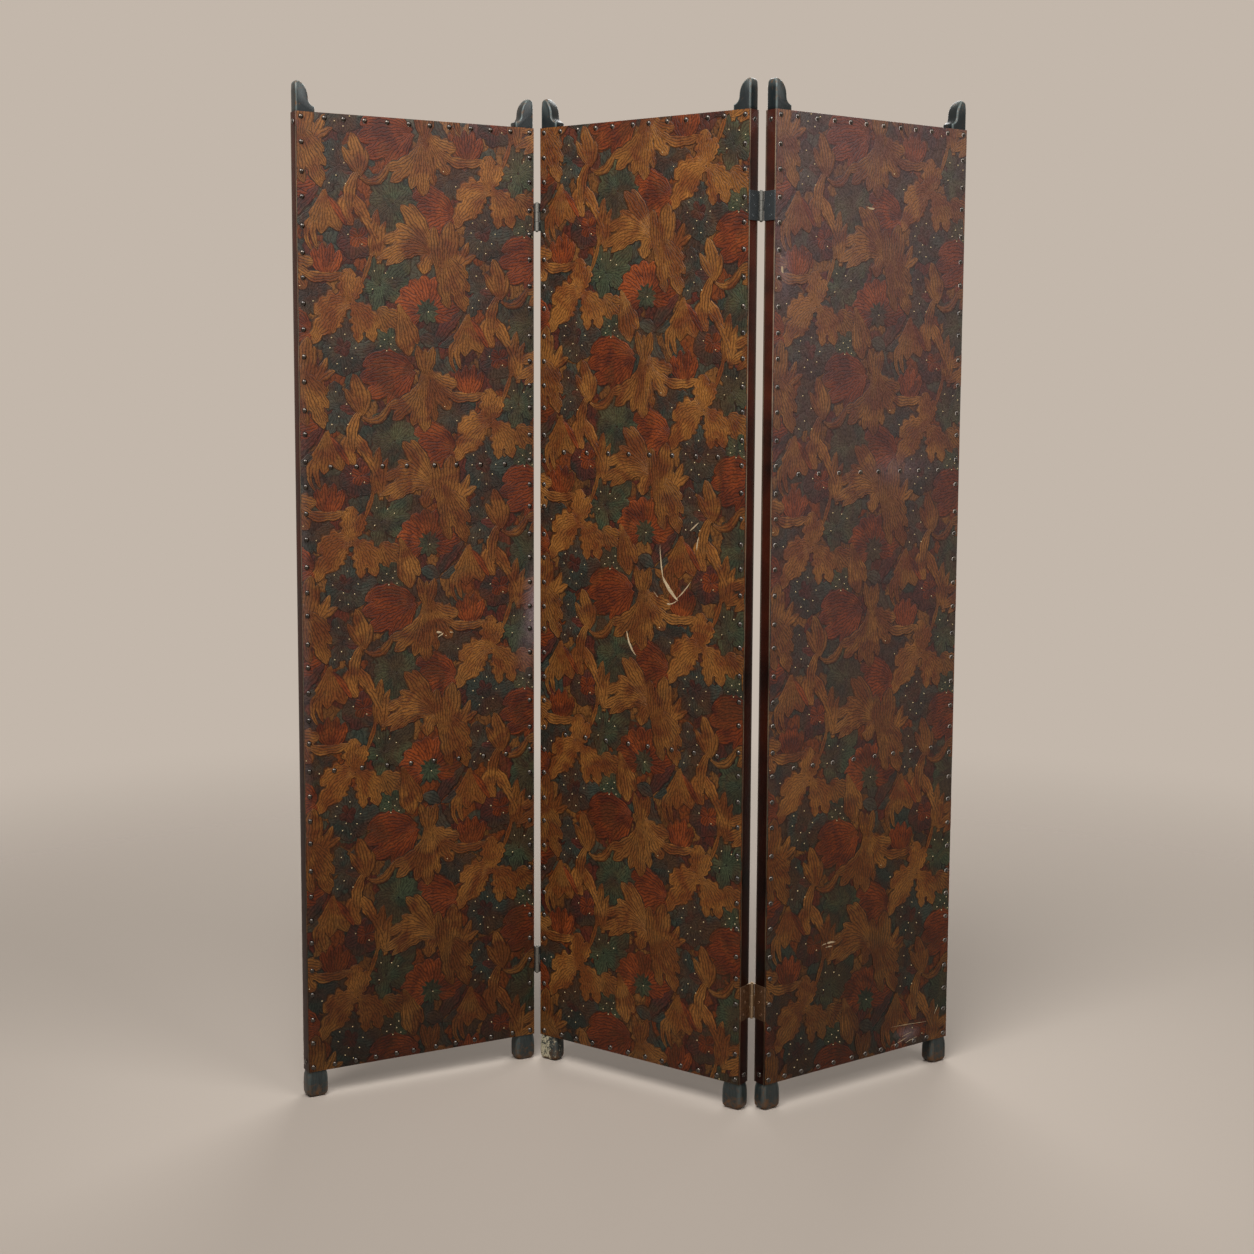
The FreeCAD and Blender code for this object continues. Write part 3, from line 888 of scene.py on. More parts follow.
@dataclass
class FoliageCell:
    """One repeat of the foliage: acanthus crown, palm, flowers, leaf clusters and a branch.

    Places are millimetres from the panel's left edge and below the leather's top.
    """

    across: int = 4
    fewest_rows: int = 6
    most_rows: int = 16
    row_mm: float = 6.0
    tint: float = 0.5
    tint_spread: float = 0.28
    step: float = 0.14
    dome: float = 0.3
    dome_share: float = 0.015
    clear: float = 0.05
    wall: float = 0.4
    ground: float = -14.5
    dot_radius: float = 1.35
    side_repeat: float = 273.0
    side_drop: float = 211.5
    drop_repeat: float = 423.0

    def crown(self) -> list[Blade]:
        """The tall acanthus: upright blades, a leaf that curls over to the left and one that falls.

        Returns:
            Its blades.
        """
        arm = [((215, 182), (150, 222), 30), ((215, 200), (144, 252), 28), ((215, 208), (162, 262), 24)]
        arm += [((218, 214), (180, 258), 20), ((228, 216), (198, 246), 18)]
        falling = [((292, 268), (318, 342), 40), ((304, 252), (324, 280), 22), ((306, 272), (327, 304), 22)]
        falling += [((300, 300), (326, 328), 20), ((270, 290), (286, 336), 30)]
        upright = [((252, 240), (257, 186), 24), ((274, 236), (272, 198), 18), ((282, 230), (289, 176), 28)]
        upright += [((296, 240), (301, 192), 16)]
        sprig = [((232, 196), (192, 150), 28), ((238, 190), (208, 148), 22), ((244, 196), (220, 160), 16)]
        sprig += [((222, 204), (182, 186), 20)]
        aside = [((314, 240), (325, 212), 16), ((320, 244), (340, 236), 15), ((302, 244), (303, 226), 11)]
        blades = spray(Dye.OCHRE, 4, (262, 246), arm, stalk=0.35, belly=0.62, lobes=4)
        blades += spray(Dye.OCHRE, 4, (276, 236), falling, stalk=0.4, belly=0.58, lobes=4)
        blades += spray(Dye.OCHRE, 4, (276, 300), upright, stalk=0.7, belly=0.72)
        blades += spray(Dye.OCHRE, 4, (258, 234), sprig, stalk=0.3, belly=0.68)
        blades += [Blade(Dye.OCHRE, 4, (262, 236), (238, 236), (236, 276), 32, belly=0.66, lobes=3)]
        return blades + spray(Dye.OCHRE, 4, (296, 266), aside)

    def fan_flower(self) -> list[Blade]:
        """The rust fan round a green eye, with an ochre leaf trailing from it.

        Returns:
            Its blades.
        """
        turns = [212 - 22.6 * k for k in range(11)]
        petals = rosette(Dye.RUST, 2, (243, 340), 66, turns, 32, belly=0.66)
        eye = rosette(Dye.GREEN, 3, (243, 338), 27, [18 + 36 * k for k in range(10)], 12, belly=0.6)
        tail = [((196, 372), (208, 422), 30), ((188, 380), (192, 410), 18), ((212, 368), (224, 400), 20)]
        return petals + eye + spray(Dye.OCHRE, 3, (188, 326), tail, stalk=0.4, belly=0.66)

    def broad_leaf(self) -> list[Blade]:
        """The broad ochre vine leaf that hangs over the dotted cluster.

        Returns:
            Its blades.
        """
        lobes = [((84, 300), (97, 266), 46), ((112, 306), (113, 280), 26), ((64, 314), (28, 350), 42)]
        lobes += [((56, 338), (22, 404), 42), ((66, 350), (60, 384), 30), ((114, 350), (110, 400), 32)]
        lobes += [((128, 342), (140, 398), 38), ((126, 330), (152, 374), 28)]
        return spray(Dye.TAN, 3, (96, 330), lobes, stalk=0.5, belly=0.6, lobes=5)

    def slender_leaf(self) -> list[Blade]:
        """The slender ochre leaf on a thin tan stalk.

        Returns:
            Its blades.
        """
        leaf = [((138, 205), (149, 160), 20), ((150, 212), (165, 180), 14), ((150, 226), (166, 204), 14)]
        stalk = Blade(Dye.TAN, 3, (116, 296), (128, 270), (138, 236), 9, stalk=0.7)
        return [*spray(Dye.OCHRE, 3, (136, 246), leaf, stalk=0.5), stalk]

    def wavy_flower(self) -> list[Blade]:
        """The big rust flower with long wavy lines, and the smaller one above the crown.

        Returns:
            Their blades.
        """
        large = [((166, 412), (116, 440), 40), ((166, 440), (108, 466), 44), ((172, 474), (120, 492), 40)]
        large += [((192, 482), (164, 510), 36)]
        small = [((256, 546), (214, 562), 42), ((256, 574), (206, 590), 42), ((262, 600), (232, 622), 38)]
        small += [((284, 606), (268, 632), 30)]
        blades = spray(Dye.RUST, 2, (216, 446), large, stalk=0.4)
        return blades + spray(Dye.RUST, 2, (300, 590), small, stalk=0.4)

    def palm(self) -> list[Blade]:
        """The ochre palm that opens downwards from a tied neck.

        Returns:
            Its blades.
        """
        collar = [((230, 430), (222, 400), 18), ((239, 430), (238, 406), 15), ((248, 430), (254, 402), 20)]
        skirt = [((226, 512), (160, 510), 26), ((218, 512), (172, 536), 28), ((226, 500), (212, 548), 26)]
        skirt += [((238, 500), (236, 560), 34), ((252, 500), (258, 540), 18), ((264, 492), (288, 518), 30)]
        skirt += [((264, 470), (304, 470), 30), ((280, 520), (360, 486), 22)]
        blades = spray(Dye.OCHRE, 4, (239, 462), collar, stalk=0.6)
        return blades + spray(Dye.OCHRE, 4, (239, 436), skirt, stalk=0.45, belly=0.68, lobes=4)

    def bud(self) -> list[Blade]:
        """The rust bud beside the palm, and the berries above it.

        Returns:
            Their blades.
        """
        berries = rosette(Dye.MAROON, 1, (380, 428), 38, [20 + 60 * k for k in range(6)], 34, belly=0.6)
        fruit = rosette(Dye.RUST, 2, (386, 424), 22, [60, 150, 240, 330], 22, belly=0.6)
        petals = [((304, 470), (302, 444), 20), ((316, 464), (318, 434), 20)]
        petals += [((332, 464), (334, 434), 20), ((346, 470), (350, 446), 20)]
        return berries + fruit + spray(Dye.RUST, 3, (324, 500), petals, stalk=0.4)

    def bell(self) -> list[Blade]:
        """The ochre bell with curled tendrils and a rust streak.

        Returns:
            Its blades.
        """
        cup = [((312, 380), (298, 402), 28), ((320, 385), (316, 422), 28), ((336, 380), (350, 416), 32)]
        tendrils = [((280, 396), (292, 438), 12), ((292, 412), (310, 446), 12), ((272, 420), (302, 452), 8)]
        blades = spray(Dye.TAN, 3, (322, 342), cup, stalk=0.3, belly=0.66, lobes=2)
        blades += spray(Dye.OCHRE, 3, (310, 388), tendrils)
        return [*blades, Blade(Dye.RUST, 4, (326, 352), (346, 374), (364, 406), 15)]

    def branch(self) -> list[Blade]:
        """The ochre branch that climbs on the right, with a lobed leaf and a hooked shoot.

        Returns:
            Its blades.
        """
        low = [((348, 372), (376, 406), 30), ((392, 372), (404, 404), 24)]
        tall = [((414, 425), (408, 388), 18), ((428, 430), (432, 396), 18)]
        leaf = [((388, 280), (372, 240), 28), ((372, 292), (356, 266), 17)]
        leaf += [((402, 296), (400, 268), 15), ((424, 344), (448, 286), 16)]
        blades = spray(Dye.TAN, 3, (370, 344), low, stalk=0.3)
        blades += spray(Dye.OCHRE, 3, (424, 470), tall, stalk=0.5)
        blades += [Blade(Dye.OCHRE, 4, (428, 462), (412, 396), (368, 360), 13, belly=0.4, stalk=0.8)]
        blades += [Blade(Dye.OCHRE, 4, (372, 384), (360, 336), (390, 304), 22, belly=0.4, stalk=0.6)]
        return blades + spray(Dye.OCHRE, 4, (388, 318), leaf, stalk=0.4)

    def clusters(self) -> list[Blade]:
        """The dark leaf clusters that fill the ground between the larger motifs.

        Returns:
            Their blades.
        """
        leafy = {"ragged": 0.22, "belly": 0.58, "lobes": 3}
        teal = [((140, 268), (145, 236), 42), ((180, 282), (212, 248), 42), ((180, 292), (210, 288), 32)]
        teal += [((176, 306), (188, 326), 36), ((148, 322), (136, 350), 36), ((130, 296), (108, 306), 30)]
        spiked = [((338, 280), (338, 254), 34), ((366, 284), (368, 260), 24), ((330, 296), (316, 284), 30)]
        spiked += [((334, 322), (326, 350), 32), ((362, 322), (366, 350), 32)]
        hooked = [((244, 440), (290, 464), 28), ((252, 392), (226, 386), 26), ((292, 398), (308, 374), 18)]
        blunt = [((164, 344), (192, 350), 22), ((168, 356), (188, 374), 24), ((154, 362), (166, 382), 22)]
        blades = spray(Dye.GREEN, 1, (152, 296), teal, lobes=3)
        blades += rosette(Dye.SLATE, 1, (84, 412), 52, [8 + 44 * k for k in range(8)], 40, **leafy)
        blades += rosette(Dye.MAROON, 2, (80, 406), 20, [30, 120, 210, 300], 18)
        blades += spray(Dye.SLATE, 1, (348, 302), spiked, lobes=3)
        blades += [Blade(Dye.MAROON, 1, (346, 300), (362, 302), (380, 306), 34)]
        blades += rosette(Dye.GREEN, 1, (178, 574), 58, [44 * k for k in range(8)], 42, **leafy)
        blades += rosette(Dye.SLATE, 1, (292, 526), 44, [15 + 60 * k for k in range(6)], 34, **leafy)
        blades += rosette(Dye.GREEN, 1, (168, 398), 34, [20 + 60 * k for k in range(6)], 30, **leafy)
        blades += spray(Dye.SLATE, 2, (264, 404), hooked)
        blades += [Blade(Dye.MAROON, 2, (258, 404), (272, 364), (314, 338), 28)]
        return blades + spray(Dye.OCHRE, 2, (146, 334), blunt, lobes=2)

    def dots(self) -> list[Point]:
        """The punched dots on the dark clusters, pale gilt that also paints their highlights.

        Returns:
            Their places.
        """
        dots = [(142, 271), (163, 274), (176, 282), (138, 303), (57, 408), (77, 423), (70, 436)]
        dots += [(86, 444), (105, 408), (85, 384), (60, 390), (98, 426), (340, 274), (360, 296)]
        dots += [(362, 332), (332, 332), (160, 392), (172, 400), (180, 410), (164, 412), (245, 341)]
        dots += [(152, 404), (176, 388), (276, 512), (300, 538), (366, 420), (392, 436), (345, 318)]
        return dots

    def blades(self) -> list[Blade]:
        """Gathers the motifs in the order in which they lie on each other.

        Returns:
            All their blades.
        """
        motifs = [self.clusters, self.wavy_flower, self.fan_flower, self.bud, self.broad_leaf]
        motifs += [self.slender_leaf, self.bell, self.branch, self.palm, self.crown]
        return [blade for motif in motifs for blade in motif()]

    def emboss(self, mesh: BMesh, blade: Blade, tint: float) -> None:
        """Adds one blade to the relief.

        Args:
            mesh: The relief.
            blade: The blade.
            tint: Its shade between its dye's deep and pale colours.
        """
        vein = mesh.loops.layers.uv.verify()
        rim = mesh.verts.layers.float["rim"]
        shade = mesh.faces.layers.float["tint"]
        long = (blade.spine(1.0) - blade.spine(0.0)).length
        along = max(self.fewest_rows, min(self.most_rows, round(long / self.row_mm)), 3 * blade.lobes)
        made = bmesh.ops.create_grid(mesh, x_segments=self.across, y_segments=along, size=1.0)
        faces = list(dict.fromkeys(f for v in made["verts"] for f in v.link_faces))
        base = self.ground - self.step * (blade.layer - 1)
        rise = min(self.dome, blade.width * self.dome_share)
        for face in faces:
            face[shade] = tint
            face.material_index = blade.dye.value
            face.smooth = True
            for loop in face.loops:
                x, y = loop.vert.co.xy
                loop[vein].uv = (x * blade.width / 2, (y + 1) / 2 * long)
        for vert in made["verts"]:
            u = vert.co.x
            t = (vert.co.y + 1) / 2
            inside = abs(u) < 0.99 and 0.01 < t < 0.99
            vert[rim] = 1.0 if inside else 0.0
            spot = blade.spine(t) + blade.across(t) * (u * blade.half_width(t, u))
            lift = rise * (1 - u * u) * min(1.0, 4 * t, 4 * (1 - t)) + self.clear
            vert.co = (spot.x, base - lift, spot.y)
        border = list(dict.fromkeys(e for f in faces for e in f.edges if e.is_boundary))
        for edge in border:
            edge.smooth = False
        for item in bmesh.ops.extrude_edge_only(mesh, edges=border)["geom"]:
            if isinstance(item, bmesh.types.BMVert):
                item.co.y = self.ground + self.wall
            if isinstance(item, bmesh.types.BMFace):
                item.material_index = blade.dye.value
                item[shade] = tint

    def stud(self, mesh: BMesh, place: Point) -> None:
        """Adds one punched dot to the relief.

        Args:
            mesh: The relief.
            place: Its centre.
        """
        rim = mesh.verts.layers.float["rim"]
        spot = Matrix.Translation((place[0], self.ground - self.step * 1.2, SIZES.high - place[1]))
        dot = bmesh.ops.create_icosphere(mesh, subdivisions=1, radius=self.dot_radius, matrix=spot)
        for vert in dot["verts"]:
            vert[rim] = 1.0
            for face in vert.link_faces:
                # Pale gilt, which also paints the stud's highlight
                face.material_index = Dye.GILT_HIGHLIGHT.value
                face.smooth = True

    def mesh(self) -> bpy.types.Mesh:
        """Builds the repeat once.

        Returns:
            The repeat's mesh, in a panel's own millimetres.
        """
        relief = bmesh.new()
        relief.loops.layers.uv.new("vein")
        relief.verts.layers.float.new("rim")
        relief.verts.layers.float.new("wear_and_painted_light")
        relief.faces.layers.float.new("tint")
        for number, blade in enumerate(self.blades()):
            self.emboss(relief, blade, self.tint + self.tint_spread * math.sin(12.9 * number))
        for place in self.dots():
            self.stud(relief, place)
        return stored("foliage_repeat", relief)


@dataclass(frozen=True)
class RubAndShade:
    """A place where the varnish is rubbed or bloomed, or, below zero, painted shade near a panel's foot: its
    centre, reach and strength.
    """

    centre: Point
    reach: Point
    strength: float

    def at(self, x: float, drop: float) -> float:
        """How strong it is at a place on the panel."""
        away = ((x - self.centre[0]) / self.reach[0]) ** 2 + ((drop - self.centre[1]) / self.reach[1]) ** 2
        return self.strength * math.exp(-away)


@dataclass
class Post:
    """One upright: its CAD shaft between the leathers, with a softly rounded ear and foot.

    Places are millimetres from the panel's near edge and above the leather's top or the floor.
    """

    stand: PanelStand
    side: str
    shop: Workshop
    outer: float = 0.2
    inner: float = 35.5
    half_depth: float = 13.0
    ear_high: float = 53.5
    ear_tip: float = 6.5
    ear_dome: float = 15.0
    ear_waist: Point = (24.0, 23.0)
    ear_toe: float = 10.5
    toe_round: float = 3.0
    ear_arris: float = 3.4
    foot_round: float = 9.5
    foot_swell: float = 2.8
    foot_half_depth: float = 15.8
    foot_arris: float = 7.5
    foot_bulge: float = 0.625
    foot_onset: float = 0.6
    arris_steps: int = 4
    seam: float = 1.0
    foot_wear_and_highlight: float = 0.22
    foot_arris_wear_and_highlight: float = 0.4
    flake_start: float = 1.05
    flake_fade: float = 0.28
    tip_thinning: float = 0.75
    tip_wear_and_highlight: float = 0.6

    def arc(self, centre: Point, radius: float, start: float, stop: float, steps: int) -> list[Point]:
        """Points along an arc between two angles in degrees, both ends included."""
        turns = [math.radians(start + (stop - start) * k / steps) for k in range(steps + 1)]
        return [(centre[0] + radius * math.cos(a), centre[1] + radius * math.sin(a)) for a in turns]

    def ear_outline(self) -> list[Point]:
        """The ear: a round tip, a full shoulder, a hollow and a small toe.

        Returns:
            Its outline, with heights above the leather's top.
        """
        waist, rise = self.ear_waist
        tip = (self.outer + self.ear_tip, self.ear_high - self.ear_tip)
        aside = waist - tip[0]
        up = tip[1] - rise
        full = (aside**2 + up**2 - self.ear_tip**2) / (2 * (aside - self.ear_tip))
        shoulder = (waist - full, rise)
        touch = math.degrees(math.atan2(up, tip[0] - shoulder[0]))
        toe = (self.inner - self.toe_round, self.ear_toe - self.toe_round)
        reach = toe[0] - waist
        drop = rise - self.ear_toe
        bow = (reach**2 + drop**2) / (2 * reach)
        sweep = math.degrees(math.asin(drop / bow))
        sunk = -self.seam - self.ear_arris
        outline = [(self.outer, sunk + (tip[1] - sunk) * k / 5) for k in range(5)]
        outline += self.arc(tip, self.ear_tip, 180, touch, 8)
        outline += self.arc(shoulder, full, touch, 0, 6)[1:]
        outline += self.arc((waist + bow, rise), bow, 180, 180 + sweep, 6)[1:]
        outline += self.arc(toe, self.toe_round, 80, 0, 3)
        return [*outline, (self.inner, sunk)]

    def fullness(self, z: float) -> float:
        """How far the foot has swollen at a height above the floor, as a share of its swell."""
        fall = (SIZES.low - z) / (SIZES.low - self.foot_round)
        return math.sin(math.pi * self.foot_bulge * max(0.0, min(1.0, fall)) ** self.foot_onset)

    def foot_outline(self) -> list[Point]:
        """The foot: a slightly swollen block with round lower corners.

        Returns:
            Its outline, with heights above the floor.
        """
        r = self.foot_round
        top = SIZES.low + self.seam + self.foot_arris
        heights = [top, *(SIZES.low + (r - SIZES.low) * k / 5 for k in range(6))]
        sides = [(z, self.foot_swell * self.fullness(z)) for z in heights]
        full = sides[-1][1]
        outline = [(self.inner + out, z) for z, out in sides]
        outline += self.arc((self.inner + full - r, r), r, 0, -90, 7)[1:]
        outline += self.arc((self.outer - full + r, r), r, -90, -180, 7)[:-1]
        return outline + [(self.outer - out, z) for z, out in reversed(sides)]

    def cushion(self, mesh: BMesh, outline: list[Point], base: float, arris: float) -> None:
        """Adds a slab of that outline with round arrises.

        Args:
            mesh: The post, in the panel's own millimetres.
            outline: The slab's outline.
            base: The height that the outline's heights start from.
            arris: The arrises' radius.
        """
        plane = arris - self.half_depth
        corners = []
        for x, z in outline:
            near = x if self.side == "left" else SIZES.width - x
            corners.append(mesh.verts.new((near, plane, base + z)))
        front = mesh.faces.new(corners)
        swept = bmesh.ops.extrude_face_region(mesh, geom=[front], use_keep_orig=True)["geom"]
        back = next(item for item in swept if isinstance(item, bmesh.types.BMFace))
        bmesh.ops.translate(mesh, vec=(0, -2 * plane, 0), verts=back.verts)
        body = list(dict.fromkeys(f for v in [*front.verts, *back.verts] for f in v.link_faces))
        bmesh.ops.recalc_face_normals(mesh, faces=body)
        wear_and_painted_light = mesh.verts.layers.float["wear_and_painted_light"]
        edging = {"use_boundary": True, "use_even_offset": True}
        for cap in (front, back):
            for k in range(self.arris_steps):
                here = math.radians(90 * k / self.arris_steps)
                there = math.radians(90 * (k + 1) / self.arris_steps)
                inward = arris * (math.cos(here) - math.cos(there))
                out = arris * (math.sin(there) - math.sin(here))
                bmesh.ops.inset_region(mesh, faces=[cap], thickness=inward, depth=out, **edging)
                # The rounded arrises are marked for wear and for a painted highlight
                for vert in cap.verts:
                    vert[wear_and_painted_light] = math.sin(2 * there)

    def ends(self) -> bpy.types.Mesh:
        """Builds the ear and the foot, with their wear and painted highlights.

        Returns:
            Both, in place.
        """
        mesh = bmesh.new()
        wear_and_painted_light = mesh.verts.layers.float.new("wear_and_painted_light")
        flake = mesh.verts.layers.float.new("flake")
        self.cushion(mesh, self.ear_outline(), SIZES.high, self.ear_arris)
        self.cushion(mesh, self.foot_outline(), 0.0, self.foot_arris)
        flaky = self.side == "left" and self.stand.name == "middle"
        for vert in mesh.verts:
            x, _, z = vert.co
            if z < SIZES.low:
                vert[wear_and_painted_light] = self.foot_wear_and_highlight + self.foot_arris_wear_and_highlight * vert[wear_and_painted_light]
                vert[flake] = self.flake_start - self.flake_fade * x / self.inner if flaky else 0.0
                vert.co.y *= 1 + self.fullness(z) * (self.foot_half_depth / self.half_depth - 1)
            near_tip = 1 - (SIZES.high + self.ear_high - z) / self.ear_dome
            if near_tip > 0:
                vert.co.y *= math.sqrt(1 - self.tip_thinning * near_tip**2)
                vert[wear_and_painted_light] += self.tip_wear_and_highlight * near_tip
        smooth(mesh)
        bmesh.ops.transform(mesh, matrix=self.stand.matrix(), verts=mesh.verts)
        return stored("post_ends", mesh)

    def build(self) -> None:
        """Builds the post."""
        stile = self.stand.node(f"{self.side}_stile")
        mesh = merged(stile)
        for height, way in ((SIZES.low + self.seam / 2, -1), (SIZES.high - self.seam / 2, 1)):
            trim(mesh, (0, 0, height * MM), (0, 0, way))
        bmesh.ops.holes_fill(mesh, edges=[e for e in mesh.edges if e.is_boundary])
        mesh.from_mesh(self.ends())
        paint = [self.shop["painted_beech_blue_black"]]
        piece(self.stand.node(f"{self.side}_post"), mesh, self.stand.body, paint, [stile])


@dataclass
class Panel:
    """One panel: its leather, foliage, strips, nails and posts."""

    stand: PanelStand
    shop: Workshop
    cell: FoliageCell
    repeat: bpy.types.Mesh
    # How strong the painted sheen is at the panel's top; it fades downwards
    haze_and_sheen: float
    rubs_and_shade: list[RubAndShade]
    scars: list[Blade]
    nail_radius: float = 5.0
    nail_height: float = 3.4
    nail_inset: float = 9.0
    nail_stray: float = 3.0
    nail_sunk: float = 0.3
    edge_nail_inset: float = 16.0
    crown: float = 0.6
    painted_sheen_fall: float = 0.95
    highest_wear_and_light: float = 0.9
    sheet_round: float = 0.8
    sheet_cuts_up: int = 60
    sheet_cuts_along: int = 16
    strip_cuts: int = 9
    relief_border: float = 0.5
    repeat_above: float = 640.0
    repeat_below: float = 120.0
    pitches: tuple[float, float, float] = (46.5, 40.0, 49.0)

    def wear_and_light(self, mesh: BMesh) -> None:
        """Writes the rubbed places, a painted sheen that fades downwards and painted shade near the foot
        into a mesh that is still in the panel's own millimetres.

        Args:
            mesh: The leather.
        """
        wear_and_painted_light = mesh.verts.layers.float["wear_and_painted_light"]
        for vert in mesh.verts:
            x = vert.co.x
            drop = SIZES.high - vert.co.z
            painted_sheen_here = self.haze_and_sheen * (1 - self.painted_sheen_fall * drop / SIZES.tall)
            vert[wear_and_painted_light] = min(self.highest_wear_and_light, painted_sheen_here + sum(r.at(x, drop) for r in self.rubs_and_shade))

    def sheet(self, face: float, inner: float) -> BMesh:
        """A leather sheet with a rounded border, with its wear, painted sheen and painted shade written in.

        Args:
            face: The y of its outer face.
            inner: The y of its inner face.

        Returns:
            The sheet in the panel's own millimetres.
        """
        mesh = bmesh.new()
        mesh.verts.layers.float.new("rim")
        mesh.verts.layers.float.new("wear_and_painted_light")
        mesh.faces.layers.float.new("tint")
        middle = (SIZES.width / 2, (face + inner) / 2, SIZES.middle)
        block(mesh, middle, (SIZES.width, abs(face - inner), SIZES.tall))
        corner = [e for e in mesh.edges if abs(sum(v.co.y for v in e.verts) / 2 - face) < 0.01]
        shape = {"segments": 3, "profile": 0.5, "affect": "EDGES", "material": -1}
        bmesh.ops.bevel(mesh, geom=corner, offset=self.sheet_round, **shape)
        long = [e for e in mesh.edges if abs(e.verts[0].co.z - e.verts[1].co.z) > 100]
        bmesh.ops.subdivide_edges(mesh, edges=long, cuts=self.sheet_cuts_up, use_grid_fill=True)
        level = [e for e in mesh.edges if abs(e.verts[0].co.x - e.verts[1].co.x) > 100]
        bmesh.ops.subdivide_edges(mesh, edges=level, cuts=self.sheet_cuts_along, use_grid_fill=True)
        rim = mesh.verts.layers.float["rim"]
        tint = mesh.faces.layers.float["tint"]
        for vert in mesh.verts:
            vert[rim] = 1.0
        for item in mesh.faces:
            item[tint] = self.cell.tint
        smooth(mesh)
        self.wear_and_light(mesh)
        return mesh

    def front(self) -> None:
        """The embossed front: the ground sheet and the foliage that stands on it."""
        ground = self.sheet(self.cell.ground, SIZES.wood_front)
        vein = ground.loops.layers.uv.new("vein")
        for face in ground.faces:
            for loop in face.loops:
                loop[vein].uv = (loop.vert.co.x, loop.vert.co.z)
        leather = [self.shop["glazed_leather_ground"]]
        base = self.stand.erect("front_ground", ground, leather, "front_leather", "front_leather")
        self.stand.framing
        self.foliage()

    def foliage(self) -> bpy.types.Object:
        """The foliage of the whole panel, cut at the panel's border.

        Returns:
            The relief piece.
        """
        mesh = bmesh.new()
        for column in (-1, 0, 1):
            for row in range(-3, 6):
                x = column * self.cell.side_repeat
                drop = column * self.cell.side_drop + row * self.cell.drop_repeat + self.stand.pattern_drop
                if -self.repeat_above < drop < SIZES.tall - self.repeat_below:
                    stamp(mesh, self.repeat, Matrix.Translation((x, 0.0, -drop)))
        for scar in self.scars:
            self.cell.emboss(mesh, scar, self.cell.tint)
        border = self.relief_border
        trim(mesh, (border, 0, 0), (-1, 0, 0))
        trim(mesh, (SIZES.width - border, 0, 0), (1, 0, 0))
        trim(mesh, (0, 0, SIZES.low + border), (0, 0, -1))
        trim(mesh, (0, 0, SIZES.high - border), (0, 0, 1))
        self.wear_and_light(mesh)
        return self.stand.erect("front_foliage", mesh, self.shop.glazes, "front_leather")

    def reverse(self) -> None:
        """The plain sheet on the back."""
        mesh = self.sheet(SIZES.back, SIZES.wood_back)
        leather = [self.shop["calf_leather_brown"]]
        made = self.stand.erect("back_sheet", mesh, leather, "back_leather", "back_leather")
        self.stand.framing

    def strips(self) -> None:
        """The leather strips on the panel's edges."""
        mesh = bmesh.new()
        deep = SIZES.wood_back - SIZES.wood_front
        inner = SIZES.width - 2 * SIZES.post
        for x in (SIZES.strip / 2, SIZES.width - SIZES.strip / 2):
            block(mesh, (x, 0, SIZES.middle), (SIZES.strip, deep, SIZES.tall))
        for z in (SIZES.high - SIZES.strip / 2, SIZES.low + SIZES.strip / 2):
            block(mesh, (SIZES.width / 2, 0, z), (inner, deep, SIZES.strip))
        wear_and_painted_light = mesh.verts.layers.float.new("wear_and_painted_light")
        through = [e for e in mesh.edges if abs(e.verts[0].co.y - e.verts[1].co.y) > 1]
        bmesh.ops.subdivide_edges(mesh, edges=through, cuts=self.strip_cuts, use_grid_fill=True)
        for vert in mesh.verts:
            share = abs(vert.co.y) / (deep / 2)
            # Only the outer fifth is worn
            vert[wear_and_painted_light] = max(0.0, 5 * share - 4)
            if abs(vert.co.x) < 0.01 or abs(vert.co.x - SIZES.width) < 0.01:
                vert.co.x += math.copysign(self.crown * (1 - share**3), vert.co.x - SIZES.width / 2)
        smooth(mesh)
        leather = [self.shop["strip_leather_red_brown"]]
        made = self.stand.erect("edge_strips", mesh, leather, "edge_leather", "edge_binding")
        self.stand.framing

    def stations(self, length: float, pitch: float, row: int) -> list[float]:
        """Places along a row of hand-set nails.

        Args:
            length: The row's length.
            pitch: The usual step.
            row: The row's number, which sets how its nails stray.

        Returns:
            The places from the row's start.
        """
        count = max(2, round(length / pitch))
        places = []
        for step in range(count + 1):
            stray = self.nail_stray * math.sin(2.4 * step * step + 1.7 * row + 0.9 * step)
            places.append(length * step / count + (stray if 0 < step < count else 0.0))
        return places

    def nail_places(self) -> list[Point]:
        """Every nail of the front: x along the panel and z up.

        Returns:
            The places.
        """
        inset = self.nail_inset
        row = self.stand.row
        places = []
        for side, x in enumerate((inset, SIZES.width - inset)):
            upright = self.stations(SIZES.tall - 2 * inset, self.pitches[0], row + side)
            places += [(x, SIZES.low + inset + z) for z in upright]
        levels = [(SIZES.low + inset, self.pitches[1]), (SIZES.high - inset, self.pitches[1])]
        levels += [(SIZES.high - drop, self.pitches[2]) for drop in self.stand.cross_drops]
        for side, (z, pitch) in enumerate(levels):
            level = self.stations(SIZES.width - 2 * inset, pitch, row + 2 + side)
            places += [(inset + x, z) for x in level[1:-1]]
        return places

    def nail_head(self) -> bpy.types.Mesh:
        """One domed nail head, with its top along z.

        Returns:
            The head.
        """
        head = bmesh.new()
        bmesh.ops.create_uvsphere(head, u_segments=10, v_segments=6, radius=1.0)
        trim(head, (0, 0, 0), (0, 0, -1))
        smooth(head)
        size = Matrix.Diagonal((self.nail_radius, self.nail_radius, self.nail_height, 1.0))
        bmesh.ops.transform(head, matrix=size, verts=head.verts)
        return stored("nail_head", head)

